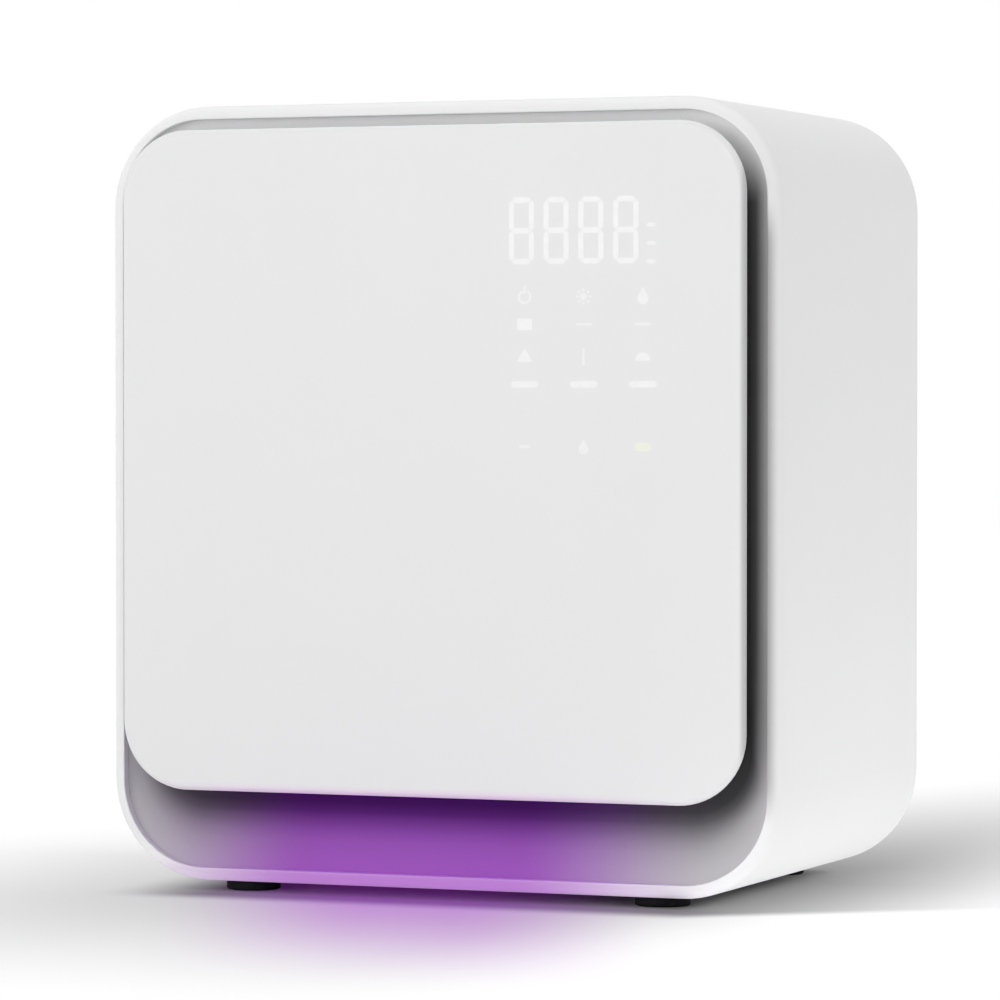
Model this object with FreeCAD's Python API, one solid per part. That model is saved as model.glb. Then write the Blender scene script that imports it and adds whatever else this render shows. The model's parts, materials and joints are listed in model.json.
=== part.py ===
"""Cabinet steriliser for bottles: a rounded white casing with a recessed front and a proud flat door.

Frame: millimetres, +Z up, front towards -Y, origin under the middle of the object on the table.
The door hangs on two pin hinges behind its left edge. Behind it lies a steel chamber with two wire
racks, ultraviolet lamp bars in the ceiling and the back wall, and a warm air fan in the rear bay.
"""

import math
import os

import FreeCAD
import Part

# Slack for picking edges by their place
pick_slack = 1e-3

# Casing: a rounded sleeve with a thin lip round its open front
casing_width = 340.0
casing_depth = 212.0
casing_height = 371.0
casing_corner = 49.0
casing_wall = 3.0
lip_width = 6.5
lip_depth = 4.0
lip_corner_gain = 1.5
lip_outer_round = 5.5
lip_inner_round = 0.6
back_edge_round = 1.5

# Feet
foot_height = 5.0
foot_radius = 13.0
foot_edge_round = 1.2
foot_stem_radius = 3.5
foot_barb_radius = 5.0
foot_barb_height = 2.5
foot_side_inset = 65.0
foot_front_inset = 22.0
foot_back_inset = 24.0

# Bezel: the sloped recess between the lip and the chamber mouth
recess_depth = 16.0
bezel_wall = 2.5
bezel_fit = 0.2
seat_inset = 16.5
seat_rise = 8.5
seat_corner = 24.0
side_land = 19.0
end_land = 13.0
opening_corner = 13.0

# Door
door_proud = 14.0
door_gap = 6.0
top_gap = 5.5
door_corner_gain = 2.0
chin_gap = 38.0
panel_thickness = 4.0
panel_front_round = 2.5
panel_back_round = 0.6
door_ledge = 10.0
tray_wall = 2.5
seat_clearance = 7.0
rest_gap = 0.3
seal_width = 8.0
seal_inset = 0.5
seal_base = 2.2
seal_bulb_inset = 1.6
seal_bulb_round = 1.8
inner_plate_wall = 0.8
inner_plate_inset = 2.0

# Controls behind the door panel
display_width = 74.0
display_height = 36.0
display_from_edge = 43.0
display_from_top = 32.0
touch_board_margin = 10.0
touch_board_height = 142.0
board_wall = 1.6
display_depth = 2.0
pillar_radius = 3.0
pillar_inset = 6.0

# Light bar under the door
light_length = 190.0
light_width = 7.0
light_drop = 3.5
light_flange = 1.5
light_flange_wall = 1.2

# Hinges
hinge_edge = 8.0
hinge_set = 8.0
hinge_inset = 60.0
barrel_radius = 3.7
barrel_height = 20.0
knuckle_height = 8.0
knuckle_gap = 0.2
pin_radius = 2.0
pin_fit = 0.05
pin_head_radius = 3.2
pin_head_height = 1.5
arm_wall = 4.6
bracket_foot_wall = 2.0
bracket_foot_width = 8.0
bracket_foot_height = 44.0
leaf_wall = 2.5
leaf_length = 28.0
leaf_arm_gap = 7.0
notch_depth = 7.0
notch_margin = 1.0

# Small screws
screw_radius = 1.4
screw_head_radius = 2.8
screw_head_height = 1.6
screw_length = 8.0
hole_fit = 0.15
screw_boss_radius = 4.0

# Catch and interlock
magnet_width = 7.0
magnet_height = 36.0
catch_inset = 95.0
magnet_gap = 0.5
catch_wall = 1.0
catch_margin = 1.0
plunger_radius = 2.4
plunger_fit = 0.1
plunger_stand = 1.7
plunger_rise = 42.0
plunger_tail = 6.0
plunger_nose_round = 1.2
striker_radius = 3.0
switch_width = 11.0
switch_height = 20.0
switch_depth = 11.0

# Chamber
liner_step = 1.0
liner_wall = 1.0
liner_flange = 6.0
back_wall = 1.0
rail_width = 6.0
rail_wall = 1.2
rail_flange = 9.0
rail_end_gap = 9.0
rail_lift = 1.0
rack_spacing = 140.0
rack_side_gap = 2.5
rack_front_gap = 6.0
rack_back_gap = 10.0
rack_corner = 14.0
frame_wire_radius = 2.0
grid_wire_radius = 1.4
grid_pitch = 17.0
weld_sink = 0.6
stay_count = 2

# Lamp bars
uv_length = 170.0
uv_width = 24.0
uv_depth = 7.5
uv_wall = 1.6
uv_lens_step = 1.8
uv_lens_wall = 1.5
uv_board_wall = 1.2
uv_fit = 0.2
uv_edge_round = 1.2
uv_led_count = 8
uv_led_size = 3.5
uv_led_height = 0.9
uv_dome_radius = 1.4
rear_uv_drop = 44.0

# Warm air: fan, heater and outlet in the rear bay
fan_size = 92.0
fan_thickness = 20.0
fan_corner = 5.0
fan_bore_gap = 3.0
fan_rise = 91.0
hub_radius = 18.0
blade_count = 7
blade_tip_gap = 1.5
blade_root_chord = 15.0
blade_tip_chord = 22.0
blade_root_pitch = 45.0
blade_tip_pitch = 30.0
blade_wall = 1.6
rotor_front_gap = 1.5
stator_wall = 5.0
rotor_gap = 0.6
shaft_radius = 1.5
shaft_fit = 0.05
strut_count = 4
strut_turn = 45.0
strut_width = 5.0
strut_wall = 3.0
heater_depth = 15.0
duct_wall = 2.0
heater_fit = 0.2
heater_bar_height = 7.0
heater_bar_count = 3
heater_fin_wall = 0.8
heater_fin_pitch = 5.0
heater_end_gap = 1.5
diffuser_margin = 8.0
diffuser_wall = 1.2
diffuser_hole_radius = 3.2
diffuser_pitch = 12.0
diffuser_corner = 6.0

# Rear panel, filter and power inlet
rear_inset = 2.0
rear_wall = 3.0
rear_fit = 0.2
boss_radius = 5.0
boss_inset = 8.0
boss_web = 5.0
boss_length = 22.0
boss_hole_radius = 1.6
rear_screw_inset = 62.0
pocket_depth = 8.0
pocket_wall = 2.0
pocket_stop = 2.6
fan_screw_sink = 1.8
filter_size = 100.0
filter_corner = 6.0
filter_fit = 0.3
cover_wall = 2.0
cover_slot_height = 4.0
cover_slot_pitch = 9.0
cover_slot_margin = 11.0
cover_grip_radius = 9.0
cover_grip_depth = 1.4
pad_fit = 0.3
vent_columns = 2
vent_rows = 8
vent_length = 70.0
vent_height = 3.4
vent_pitch = 8.0
vent_column_gap = 14.0
vent_drop = 30.0
inlet_width = 30.0
inlet_height = 15.0
inlet_depth = 20.0
inlet_flange = 3.0
inlet_flange_wall = 1.5
inlet_from_side = 52.0
inlet_rise = 36.0
inlet_fit = 0.2
inlet_lobe_radius = 4.6
inlet_lobe_spread = 4.3
inlet_recess = 13.0
inlet_pin_radius = 1.2
inlet_pin_length = 9.0

# Power board in the base
power_board_width = 150.0
power_board_depth = 92.0
power_board_inset = 58.0
power_board_front_gap = 26.0
standoff_height = 14.0
standoff_radius = 4.0
standoff_inset = 7.0
transformer_width = 40.0
transformer_depth = 34.0
transformer_height = 30.0
transformer_coil = 5.0
transformer_coil_round = 2.5
capacitor_radius = 7.0
capacitor_height = 24.0
capacitor_round = 1.2
capacitor_pitch = 18.0
capacitor_count = 3
sink_width = 46.0
sink_depth = 22.0
sink_height = 26.0
sink_base = 4.0
sink_fin_wall = 1.6
sink_fin_count = 6
component_margin = 12.0


def vec(x, y, z):
    return FreeCAD.Vector(x, y, z)


def grown(area, margin):
    """Area (x0, x1, z0, z1) with every side moved out by the margin."""
    x0, x1, z0, z1 = area
    return (x0 - margin, x1 + margin, z0 - margin, z1 + margin)


def centred(x, z, width, height):
    return (x - width / 2, x + width / 2, z - height / 2, z + height / 2)


# Depths, from the door's face to the back of the casing
door_front = -(casing_depth + door_proud) / 2
lip_front = door_front + door_proud
lip_back = lip_front + lip_depth
casing_back = lip_front + casing_depth
seat_y = lip_front + recess_depth
bezel_back = seat_y + bezel_wall
panel_back = door_front + panel_thickness
tray_back = seat_y - seat_clearance
tray_floor = tray_back - tray_wall
rear_outer = casing_back - rear_inset
rear_inner = rear_outer - rear_wall
pocket_front = rear_inner - pocket_depth
fan_front = pocket_front - fan_thickness
duct_front = fan_front - heater_depth
liner_end = duct_front - back_wall

# Outlines seen from the front
casing_floor = foot_height + casing_wall
casing_area = (-casing_width / 2, casing_width / 2, foot_height, foot_height + casing_height)
bore_area = grown(casing_area, -casing_wall)
bore_corner = casing_corner - casing_wall
recess_area = grown(casing_area, -lip_width)
recess_corner = casing_corner - lip_width - lip_corner_gain
door_area = (
    recess_area[0] + door_gap,
    recess_area[1] - door_gap,
    recess_area[2] + chin_gap,
    recess_area[3] - top_gap,
)
door_corner = recess_corner - door_gap - door_corner_gain
tray_area = grown(door_area, -door_ledge)
tray_corner = door_corner - door_ledge
seat_area = (
    recess_area[0] + seat_inset,
    recess_area[1] - seat_inset,
    door_area[2] + seat_rise,
    recess_area[3] - seat_inset,
)
opening_area = (
    seat_area[0] + side_land,
    seat_area[1] - side_land,
    seat_area[2] + end_land,
    seat_area[3] - end_land,
)
seal_area = grown(opening_area, seal_inset)
liner_area = grown(opening_area, liner_step)
liner_corner = opening_corner + liner_step
land_middle = opening_area[1] + side_land - (side_land - seal_inset - seal_width) / 2

# Hinge axis, and the heights of the two hinges
hinge_x = door_area[0] + hinge_edge
hinge_y = door_front + hinge_set
hinge_heights = {"upper": door_area[3] - hinge_inset, "lower": door_area[2] + hinge_inset}
hinge_reach = barrel_height / 2 + knuckle_gap + knuckle_height

# Warm air and filter windows
fan_z = liner_area[2] + fan_rise
fan_area = centred(0.0, fan_z, fan_size, fan_size)
fan_bore = fan_size / 2 - fan_bore_gap
filter_area = centred(0.0, fan_z, filter_size, filter_size)
duct_area = grown(fan_area, -duct_wall)

# Rack shelf levels
lower_level = liner_area[2] + liner_corner + rail_lift + rail_flange
rail_levels = {"lower": lower_level, "upper": lower_level + rack_spacing}


def box(x0, x1, y0, y1, z0, z1):
    return Part.makeBox(x1 - x0, y1 - y0, z1 - z0, vec(x0, y0, z0))


def rod_x(x0, x1, y, z, radius):
    return Part.makeCylinder(radius, x1 - x0, vec(x0, y, z), vec(1, 0, 0))


def rod_y(x, y0, y1, z, radius):
    return Part.makeCylinder(radius, y1 - y0, vec(x, y0, z), vec(0, 1, 0))


def rod_z(x, y, z0, z1, radius):
    return Part.makeCylinder(radius, z1 - z0, vec(x, y, z0), vec(0, 0, 1))


def joined(first, others):
    return first.multiFuse(list(others)).removeSplitter()


def rounded_loop(x0, x1, z0, z1, corner, place):
    """Rounded rectangle as a wire: four sides and four quarter arcs, each point set by place(x, z)."""
    bend = corner * (1 - math.sqrt(0.5))
    corners = [
        ((x1, z0), (-1, 1)),
        ((x1, z1), (-1, -1)),
        ((x0, z1), (1, -1)),
        ((x0, z0), (1, 1)),
    ]
    edges = []
    last = place(x0 + corner, z0)
    for index, ((x, z), (inward_x, inward_z)) in enumerate(corners):
        on_upright = place(x, z + inward_z * corner)
        on_level = place(x + inward_x * corner, z)
        start, end = (on_level, on_upright) if index % 2 == 0 else (on_upright, on_level)
        middle = place(x + inward_x * bend, z + inward_z * bend)
        edges.append(Part.LineSegment(last, start).toShape())
        edges.append(Part.Arc(start, middle, end).toShape())
        last = end
    return Part.Wire(edges)


def outline(area, corner, y):
    return rounded_loop(*area, corner, lambda x, z: vec(x, y, z))


def plate(area, corner, y0, y1):
    """Upright slab of a rounded outline, between two depths."""
    return Part.Face(outline(area, corner, y0)).extrude(vec(0, y1 - y0, 0))


def ring(area, corner, width, y0, y1):
    """Upright frame: a rounded outline and the same outline grown by the width."""
    outer = plate(grown(area, width), corner + width, y0, y1)
    return outer.cut(plate(area, corner, y0, y1))


def edges_at(shape, y, area):
    """Edges in the plane at depth y that lie within the area."""
    x0, x1, z0, z1 = grown(area, pick_slack)
    found = []
    for edge in shape.Edges:
        bounds = edge.BoundBox
        flat = abs(bounds.YMin - y) < pick_slack and abs(bounds.YMax - y) < pick_slack
        within = bounds.XMin > x0 and bounds.XMax < x1 and bounds.ZMin > z0 and bounds.ZMax < z1
        if flat and within:
            found.append(edge)
    return found


def screw_y(x, z, y, tip):
    """Pan head screw along Y: head seated at depth y, shank running to the depth of its tip."""
    toward = 1 if tip > y else -1
    head = Part.makeCylinder(screw_head_radius, screw_head_height, vec(x, y, z), vec(0, -toward, 0))
    shank = Part.makeCylinder(screw_radius, abs(tip - y), vec(x, y, z), vec(0, toward, 0))
    return joined(head, [shank])


# Casing and feet

def foot_places():
    for side in (-1, 1):
        for y in (lip_front + foot_front_inset, casing_back - foot_back_inset):
            yield side * (casing_width / 2 - foot_side_inset), y


def rear_screw_places():
    for side in (-1, 1):
        for z in (bore_area[2] + rear_screw_inset, bore_area[3] - rear_screw_inset):
            yield side, side * (bore_area[1] - boss_inset), z


def make_casing():
    shell = plate(casing_area, casing_corner, lip_front, casing_back)
    shell = shell.makeFillet(lip_outer_round, edges_at(shell, lip_front, casing_area))
    shell = shell.makeFillet(back_edge_round, edges_at(shell, casing_back, casing_area))
    shell = shell.cut(plate(bore_area, bore_corner, lip_back, casing_back))
    shell = shell.cut(plate(recess_area, recess_corner, lip_front, lip_back))
    shell = shell.makeFillet(lip_inner_round, edges_at(shell, lip_front, recess_area))
    bosses = []
    holes = []
    for side, x, z in rear_screw_places():
        front = rear_inner - boss_length
        wall_x = side * (bore_area[1] + casing_wall / 2)
        web = box(min(x, wall_x), max(x, wall_x), front, rear_inner, z - boss_web / 2, z + boss_web / 2)
        bosses += [rod_y(x, front, rear_inner, z, boss_radius), web]
        holes.append(rod_y(x, front, rear_inner, z, boss_hole_radius))
    for x, y in foot_places():
        holes.append(rod_z(x, y, foot_height, casing_floor, foot_stem_radius + hole_fit))
    return joined(shell, bosses).cut(Part.makeCompound(holes))


def make_feet():
    feet = []
    for x, y in foot_places():
        pad = rod_z(x, y, 0.0, foot_height, foot_radius)
        rim = [edge for edge in pad.Edges if edge.BoundBox.ZMax < pick_slack]
        pad = pad.makeFillet(foot_edge_round, rim)
        stem = rod_z(x, y, 0.0, casing_floor, foot_stem_radius)
        barb = Part.makeCone(foot_barb_radius, foot_stem_radius, foot_barb_height, vec(x, y, casing_floor))
        feet.append(joined(pad, [stem, barb]))
    return Part.makeCompound(feet)


# Bezel, with what is let into it

def catch_places():
    for z in (door_area[2] + catch_inset, door_area[3] - catch_inset):
        yield land_middle, z


def plunger_place():
    return land_middle, seat_area[2] + plunger_rise


def catch_area(x, z):
    return grown(centred(x, z, magnet_width, magnet_height), catch_margin)


def bracket_screw_places():
    for z in hinge_heights.values():
        for side in (-1, 1):
            yield -land_middle, z + side * (bracket_foot_height / 2 - screw_head_radius - notch_margin)


def make_bezel():
    inner = Part.makeLoft(
        [outline(recess_area, recess_corner, lip_back), outline(seat_area, seat_corner, seat_y)], True, True
    )
    outer = Part.makeLoft(
        [
            outline(grown(recess_area, bezel_wall), recess_corner + bezel_wall, lip_back),
            outline(grown(seat_area, bezel_wall), seat_corner + bezel_wall, bezel_back),
        ],
        True,
        True,
    )
    flange = plate(grown(bore_area, -bezel_fit), bore_corner - bezel_fit, lip_back, lip_back + bezel_wall)
    bezel = joined(outer, [flange]).cut(inner)
    cuts = [plate(opening_area, opening_corner, seat_y, bezel_back)]
    for x, z in catch_places():
        x0, x1, z0, z1 = catch_area(x, z)
        cuts.append(box(x0, x1, seat_y, seat_y + catch_wall, z0, z1))
    x, z = plunger_place()
    cuts.append(rod_y(x, seat_y, bezel_back, z, plunger_radius + plunger_fit))
    for x, z in bracket_screw_places():
        cuts.append(rod_y(x, seat_y, bezel_back, z, screw_radius + hole_fit))
    return bezel.cut(Part.makeCompound(cuts))


def make_catch_plates():
    plates = []
    for x, z in catch_places():
        x0, x1, z0, z1 = catch_area(x, z)
        plates.append(box(x0, x1, seat_y, seat_y + catch_wall, z0, z1))
    return Part.makeCompound(plates)


def make_interlock_switch():
    """Switch body on the back of the bezel, with a bore for its plunger."""
    x, z = plunger_place()
    body = box(
        x - switch_width / 2,
        x + switch_width / 2,
        bezel_back,
        bezel_back + switch_depth,
        z - switch_height / 2,
        z + switch_height / 2,
    )
    bore = rod_y(x, bezel_back, bezel_back + plunger_tail + rest_gap, z, plunger_radius + plunger_fit)
    return body.cut(bore)


def make_plunger():
    x, z = plunger_place()
    stem = rod_y(x, seat_y - plunger_stand, bezel_back + plunger_tail, z, plunger_radius)
    nose = edges_at(stem, seat_y - plunger_stand, grown(seat_area, casing_wall))
    return stem.makeFillet(plunger_nose_round, nose)


# Chamber

def make_liner():
    tube = ring(liner_area, liner_corner, liner_wall, bezel_back, liner_end)
    flange = ring(liner_area, liner_corner, liner_flange, bezel_back, bezel_back + liner_wall)
    return joined(tube, [flange])


def make_chamber_back():
    back = plate(grown(liner_area, liner_flange), liner_corner + liner_flange, liner_end, duct_front)
    return back.cut(plate(duct_area, fan_corner, liner_end, duct_front))


def make_diffuser():
    """Perforated outlet plate on the back wall of the chamber."""
    area = grown(duct_area, diffuser_margin)
    sheet = plate(area, diffuser_corner, liner_end - diffuser_wall, liner_end)
    count = int((duct_area[1] - duct_area[0]) / diffuser_pitch)
    start = -(count - 1) * diffuser_pitch / 2
    holes = []
    for row in range(count):
        for column in range(count):
            x = start + column * diffuser_pitch
            z = fan_z + start + row * diffuser_pitch
            holes.append(rod_y(x, liner_end - diffuser_wall, liner_end, z, diffuser_hole_radius))
    return sheet.cut(Part.makeCompound(holes))


def make_rails():
    """Four folded angles on the side walls, two under each rack."""
    y0 = bezel_back + rail_end_gap
    y1 = liner_end - rail_end_gap
    rails = []
    for level in rail_levels.values():
        for side in (-1, 1):
            wall = side * liner_area[1]
            inner = wall - side * rail_width
            skin = wall - side * rail_wall
            ledge = box(min(wall, inner), max(wall, inner), y0, y1, level - rail_wall, level)
            web = box(min(wall, skin), max(wall, skin), y0, y1, level - rail_flange, level)
            rails.append(joined(ledge, [web]))
    return Part.makeCompound(rails)


def make_rack(level):
    """Wire shelf: a bent frame wire, stays across it and a row of thinner wires welded on top."""
    half = liner_area[1] - rack_side_gap - frame_wire_radius
    y0 = bezel_back + rack_front_gap + frame_wire_radius
    y1 = liner_end - rack_back_gap - frame_wire_radius
    z = level + rest_gap + frame_wire_radius
    path = rounded_loop(-half, half, y0, y1, rack_corner, lambda x, y: vec(x, y, z))
    section = Part.Wire(Part.makeCircle(frame_wire_radius, vec(-half + rack_corner, y0, z), vec(1, 0, 0)))
    frame = Part.Solid(path.makePipeShell([section], True, False))
    wires = []
    for stay in range(stay_count):
        y = y0 + (y1 - y0) * (stay + 1) / (stay_count + 1)
        wires.append(rod_x(-half, half, y, z, frame_wire_radius))
    grid_z = z + frame_wire_radius + grid_wire_radius - weld_sink
    count = int((2 * half - rack_corner) / grid_pitch) + 1
    start = -(count - 1) * grid_pitch / 2
    for index in range(count):
        wires.append(rod_y(start + index * grid_pitch, y0, y1, grid_z, grid_wire_radius))
    return joined(frame, wires)


# Lamp bars, made facing down and then set on their wall

def inset_block(half_length, half_width, inset, z0, z1):
    x = half_length - inset
    y = half_width - inset
    return box(-x, x, -y, y, z0, z1)


def uv_bar():
    """The four pieces of a lamp bar, with its back in the plane z = 0 and its window below."""
    half_length = uv_length / 2
    half_width = uv_width / 2
    rim = uv_wall
    ledge = uv_wall + uv_lens_step
    lens_top = -uv_depth + uv_lens_wall + uv_fit

    body = box(-half_length, half_length, -half_width, half_width, -uv_depth, 0.0)
    low_edges = [edge for edge in body.Edges if edge.BoundBox.ZMax < -uv_depth + pick_slack]
    body = body.makeFillet(uv_edge_round, low_edges)
    well = inset_block(half_length, half_width, ledge, -uv_depth, -uv_wall)
    housing = body.cut(well).cut(inset_block(half_length, half_width, rim, -uv_depth, lens_top))

    lens = inset_block(half_length, half_width, rim + uv_fit, lens_top - uv_lens_wall, lens_top)
    led_top = -uv_wall - uv_board_wall
    board = inset_block(half_length, half_width, ledge + uv_fit, led_top, -uv_wall)
    pitch = (uv_length - 2 * ledge) / uv_led_count
    leds = []
    for index in range(uv_led_count):
        x = (index - (uv_led_count - 1) / 2) * pitch
        half = uv_led_size / 2
        case = box(x - half, x + half, -half, half, led_top - uv_led_height, led_top)
        crown = vec(x, 0, led_top - uv_led_height)
        dome = Part.makeSphere(uv_dome_radius, crown, vec(0, 0, -1), 0, 90, 360)
        leds.append(joined(case, [dome]))
    return {"housing": housing, "board": board, "leds": Part.makeCompound(leds), "window": lens}


def placed_uv_bars():
    middle_y = (bezel_back + liner_end) / 2
    ceiling = FreeCAD.Placement(vec(0, middle_y, liner_area[3]), FreeCAD.Rotation(vec(1, 0, 0), 0))
    rear = FreeCAD.Placement(
        vec(0, liner_end, liner_area[3] - rear_uv_drop), FreeCAD.Rotation(vec(1, 0, 0), -90)
    )
    for wall, placement in (("ceiling", ceiling), ("rear", rear)):
        for piece, shape in uv_bar().items():
            yield f"{wall}_uv_{piece}", shape.transformGeometry(placement.toMatrix())


# Fan and heater

def fan_screw_places():
    reach = fan_size / 2 - fan_corner
    for side_x in (-1, 1):
        for side_z in (-1, 1):
            yield side_x * reach, fan_z + side_z * reach


def make_fan_frame():
    """Square fan frame with a round bore, a bearing disc at the back and struts that carry it."""
    frame = plate(fan_area, fan_corner, fan_front, pocket_front)
    frame = frame.cut(rod_y(0, fan_front, pocket_front, fan_z, fan_bore))
    disc = rod_y(0, pocket_front - stator_wall, pocket_front, fan_z, hub_radius)
    struts = []
    strut_reach = fan_bore + fan_bore_gap / 2
    half_strut = strut_width / 2
    for index in range(strut_count):
        strut = box(0, strut_reach, pocket_front - strut_wall, pocket_front, -half_strut, half_strut)
        strut.rotate(vec(0, 0, 0), vec(0, 1, 0), strut_turn + index * 360 / strut_count)
        strut.translate(vec(0, 0, fan_z))
        struts.append(strut)
    frame = joined(frame, struts + [disc])
    holes = [rod_y(0, pocket_front - stator_wall, pocket_front, fan_z, shaft_radius + shaft_fit)]
    for x, z in fan_screw_places():
        holes.append(rod_y(x, fan_front, pocket_front, z, screw_radius + hole_fit))
    return frame.cut(Part.makeCompound(holes))


def blade_section(radius, chord, pitch):
    """Closed outline of a blade where it crosses a radius, turned to its pitch."""
    turn = math.radians(pitch)
    along = (math.cos(turn), math.sin(turn))
    across = (-along[1], along[0])
    points = []
    for end, face in ((-1, -1), (1, -1), (1, 1), (-1, 1)):
        x = end * chord / 2 * along[0] + face * blade_wall / 2 * across[0]
        y = end * chord / 2 * along[1] + face * blade_wall / 2 * across[1]
        points.append(vec(x, y, radius))
    return Part.makePolygon(points + points[:1])


def make_fan_rotor():
    hub_front = fan_front + rotor_front_gap
    hub_back = pocket_front - stator_wall - rotor_gap
    hub = rod_y(0, hub_front, hub_back, fan_z, hub_radius)
    hub = hub.makeFillet(rotor_front_gap, edges_at(hub, hub_front, fan_area))
    shaft = rod_y(0, hub_front, pocket_front, fan_z, shaft_radius)
    root = blade_section(hub_radius - blade_wall, blade_root_chord, blade_root_pitch)
    tip = blade_section(fan_bore - blade_tip_gap, blade_tip_chord, blade_tip_pitch)
    blade = Part.makeLoft([root, tip], True, True)
    blades = []
    for index in range(blade_count):
        copy = blade.copy()
        copy.rotate(vec(0, 0, 0), vec(0, 1, 0), index * 360 / blade_count)
        copy.translate(vec(0, (hub_front + hub_back) / 2, fan_z))
        blades.append(copy)
    return joined(hub, blades + [shaft])


def make_fan_screws():
    seat = pocket_front + pocket_stop - fan_screw_sink
    return Part.makeCompound([screw_y(x, z, seat, seat - screw_length) for x, z in fan_screw_places()])


def make_duct():
    return ring(duct_area, fan_corner, duct_wall, duct_front, fan_front)


def make_heater():
    """Heater core: ceramic bars held in a finned frame that fills the duct."""
    x0, x1, z0, z1 = grown(duct_area, -heater_fit)
    y0 = duct_front + heater_end_gap
    y1 = fan_front - heater_end_gap
    gap = (z1 - z0 - heater_bar_height) / (heater_bar_count - 1)
    bars = []
    for index in range(heater_bar_count):
        z = z0 + index * gap
        bars.append(box(x0, x1, y0, y1, z, z + heater_bar_height))
    count = int((x1 - x0 - 2 * fan_corner) / heater_fin_pitch) + 1
    start = -(count - 1) * heater_fin_pitch / 2
    for index in range(count):
        x = start + index * heater_fin_pitch
        bars.append(box(x - heater_fin_wall / 2, x + heater_fin_wall / 2, y0, y1, z0, z1))
    core = joined(bars[0], bars[1:])
    return core.common(plate((x0, x1, z0, z1), fan_corner - heater_fit, y0, y1))


# Rear panel, filter and inlet

def inlet_place():
    return bore_area[1] - inlet_from_side, casing_floor + inlet_rise


def slot(x, z, width, height, y0, y1):
    """Bar with round ends, for a slot cut through from one depth to the other."""
    straight = (width - height) / 2
    bar = box(x - straight, x + straight, y0, y1, z - height / 2, z + height / 2)
    return joined(bar, [rod_y(x + side * straight, y0, y1, z, height / 2) for side in (-1, 1)])


def make_rear_panel():
    panel = plate(grown(bore_area, -rear_fit), bore_corner - rear_fit, rear_inner, rear_outer)
    pocket = ring(filter_area, filter_corner, pocket_wall, pocket_front, rear_inner)
    stop_back = pocket_front + pocket_stop
    stop = plate(filter_area, filter_corner, pocket_front, stop_back)
    stop = stop.cut(rod_y(0, pocket_front, stop_back, fan_z, fan_bore))
    panel = panel.cut(plate(filter_area, filter_corner, rear_inner, rear_outer))
    panel = joined(panel, [pocket, stop])
    cuts = []
    for _, x, z in rear_screw_places():
        cuts.append(rod_y(x, rear_inner, rear_outer, z, screw_radius + hole_fit))
    for x, z in fan_screw_places():
        cuts.append(rod_y(x, pocket_front, stop_back, z, screw_radius + hole_fit))
        cuts.append(rod_y(x, stop_back - fan_screw_sink, stop_back, z, screw_head_radius + hole_fit))
    first_x = -(vent_columns - 1) * (vent_length + vent_column_gap) / 2
    for column in range(vent_columns):
        for row in range(vent_rows):
            x = first_x + column * (vent_length + vent_column_gap)
            z = bore_area[3] - vent_drop - row * vent_pitch
            cuts.append(slot(x, z, vent_length, vent_height, rear_inner, rear_outer))
    x, z = inlet_place()
    window = grown(centred(x, z, inlet_width, inlet_height), inlet_fit)
    cuts.append(plate(window, inlet_height / 2, rear_inner, rear_outer))
    return panel.cut(Part.makeCompound(cuts))


def make_rear_screws():
    tip = rear_outer - screw_length
    return Part.makeCompound([screw_y(x, z, rear_outer, tip) for _, x, z in rear_screw_places()])


def make_filter_cover():
    """Slotted cover flush with the panel, with a short wall that holds the filter pad."""
    area = grown(filter_area, -filter_fit)
    corner = filter_corner - filter_fit
    y0 = pocket_front + pocket_stop + rest_gap
    face = rear_outer - cover_wall
    cover = plate(area, corner, y0, rear_outer)
    cover = cover.cut(plate(grown(area, -cover_wall), corner - cover_wall, y0, face))
    width = area[1] - area[0] - 2 * cover_slot_margin
    count = int((area[3] - area[2] - 2 * cover_slot_margin) / cover_slot_pitch) + 1
    start = fan_z - (count - 1) * cover_slot_pitch / 2
    slots = []
    for index in range(count):
        z = start + index * cover_slot_pitch
        slots.append(slot(0, z, width, cover_slot_height, face, rear_outer))
    grip = rod_y(0, rear_outer - cover_grip_depth, rear_outer, area[3], cover_grip_radius)
    return cover.cut(Part.makeCompound(slots)).cut(grip)


def make_filter_pad():
    inset = filter_fit + cover_wall + pad_fit
    front = pocket_front + pocket_stop + rest_gap
    return plate(grown(filter_area, -inset), filter_corner - inset, front, rear_outer - cover_wall)


def make_inlet():
    """Power inlet: a flanged body with a two lobed socket in its back face."""
    x, z = inlet_place()
    face = rear_outer + inlet_flange_wall
    body_area = centred(x, z, inlet_width, inlet_height)
    round_end = inlet_height / 2 - inlet_fit
    body = plate(body_area, round_end, rear_outer - inlet_depth, rear_outer)
    flange = plate(grown(body_area, inlet_flange), round_end + inlet_flange, rear_outer, face)
    lobes = []
    for side in (-1, 1):
        lobes.append(rod_y(x + side * inlet_lobe_spread, face - inlet_recess, face, z, inlet_lobe_radius))
    pins = []
    for side in (-1, 1):
        depth = face - inlet_recess
        pins.append(rod_y(x + side * inlet_lobe_spread, depth - inlet_fit, depth, z, inlet_pin_radius))
    return joined(body, [flange]).cut(joined(lobes[0], lobes[1:])).cut(Part.makeCompound(pins))


def make_inlet_pins():
    x, z = inlet_place()
    depth = rear_outer + inlet_flange_wall - inlet_recess
    tip = depth + inlet_pin_length
    pins = []
    for side in (-1, 1):
        pins.append(rod_y(x + side * inlet_lobe_spread, depth - inlet_fit, tip, z, inlet_pin_radius))
    return Part.makeCompound(pins)


# Power board in the base

power_x0 = bore_area[0] + power_board_inset
power_x1 = power_x0 + power_board_width
power_y0 = bezel_back + power_board_front_gap
power_y1 = power_y0 + power_board_depth
board_low = casing_floor + standoff_height
board_top = board_low + board_wall


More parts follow.
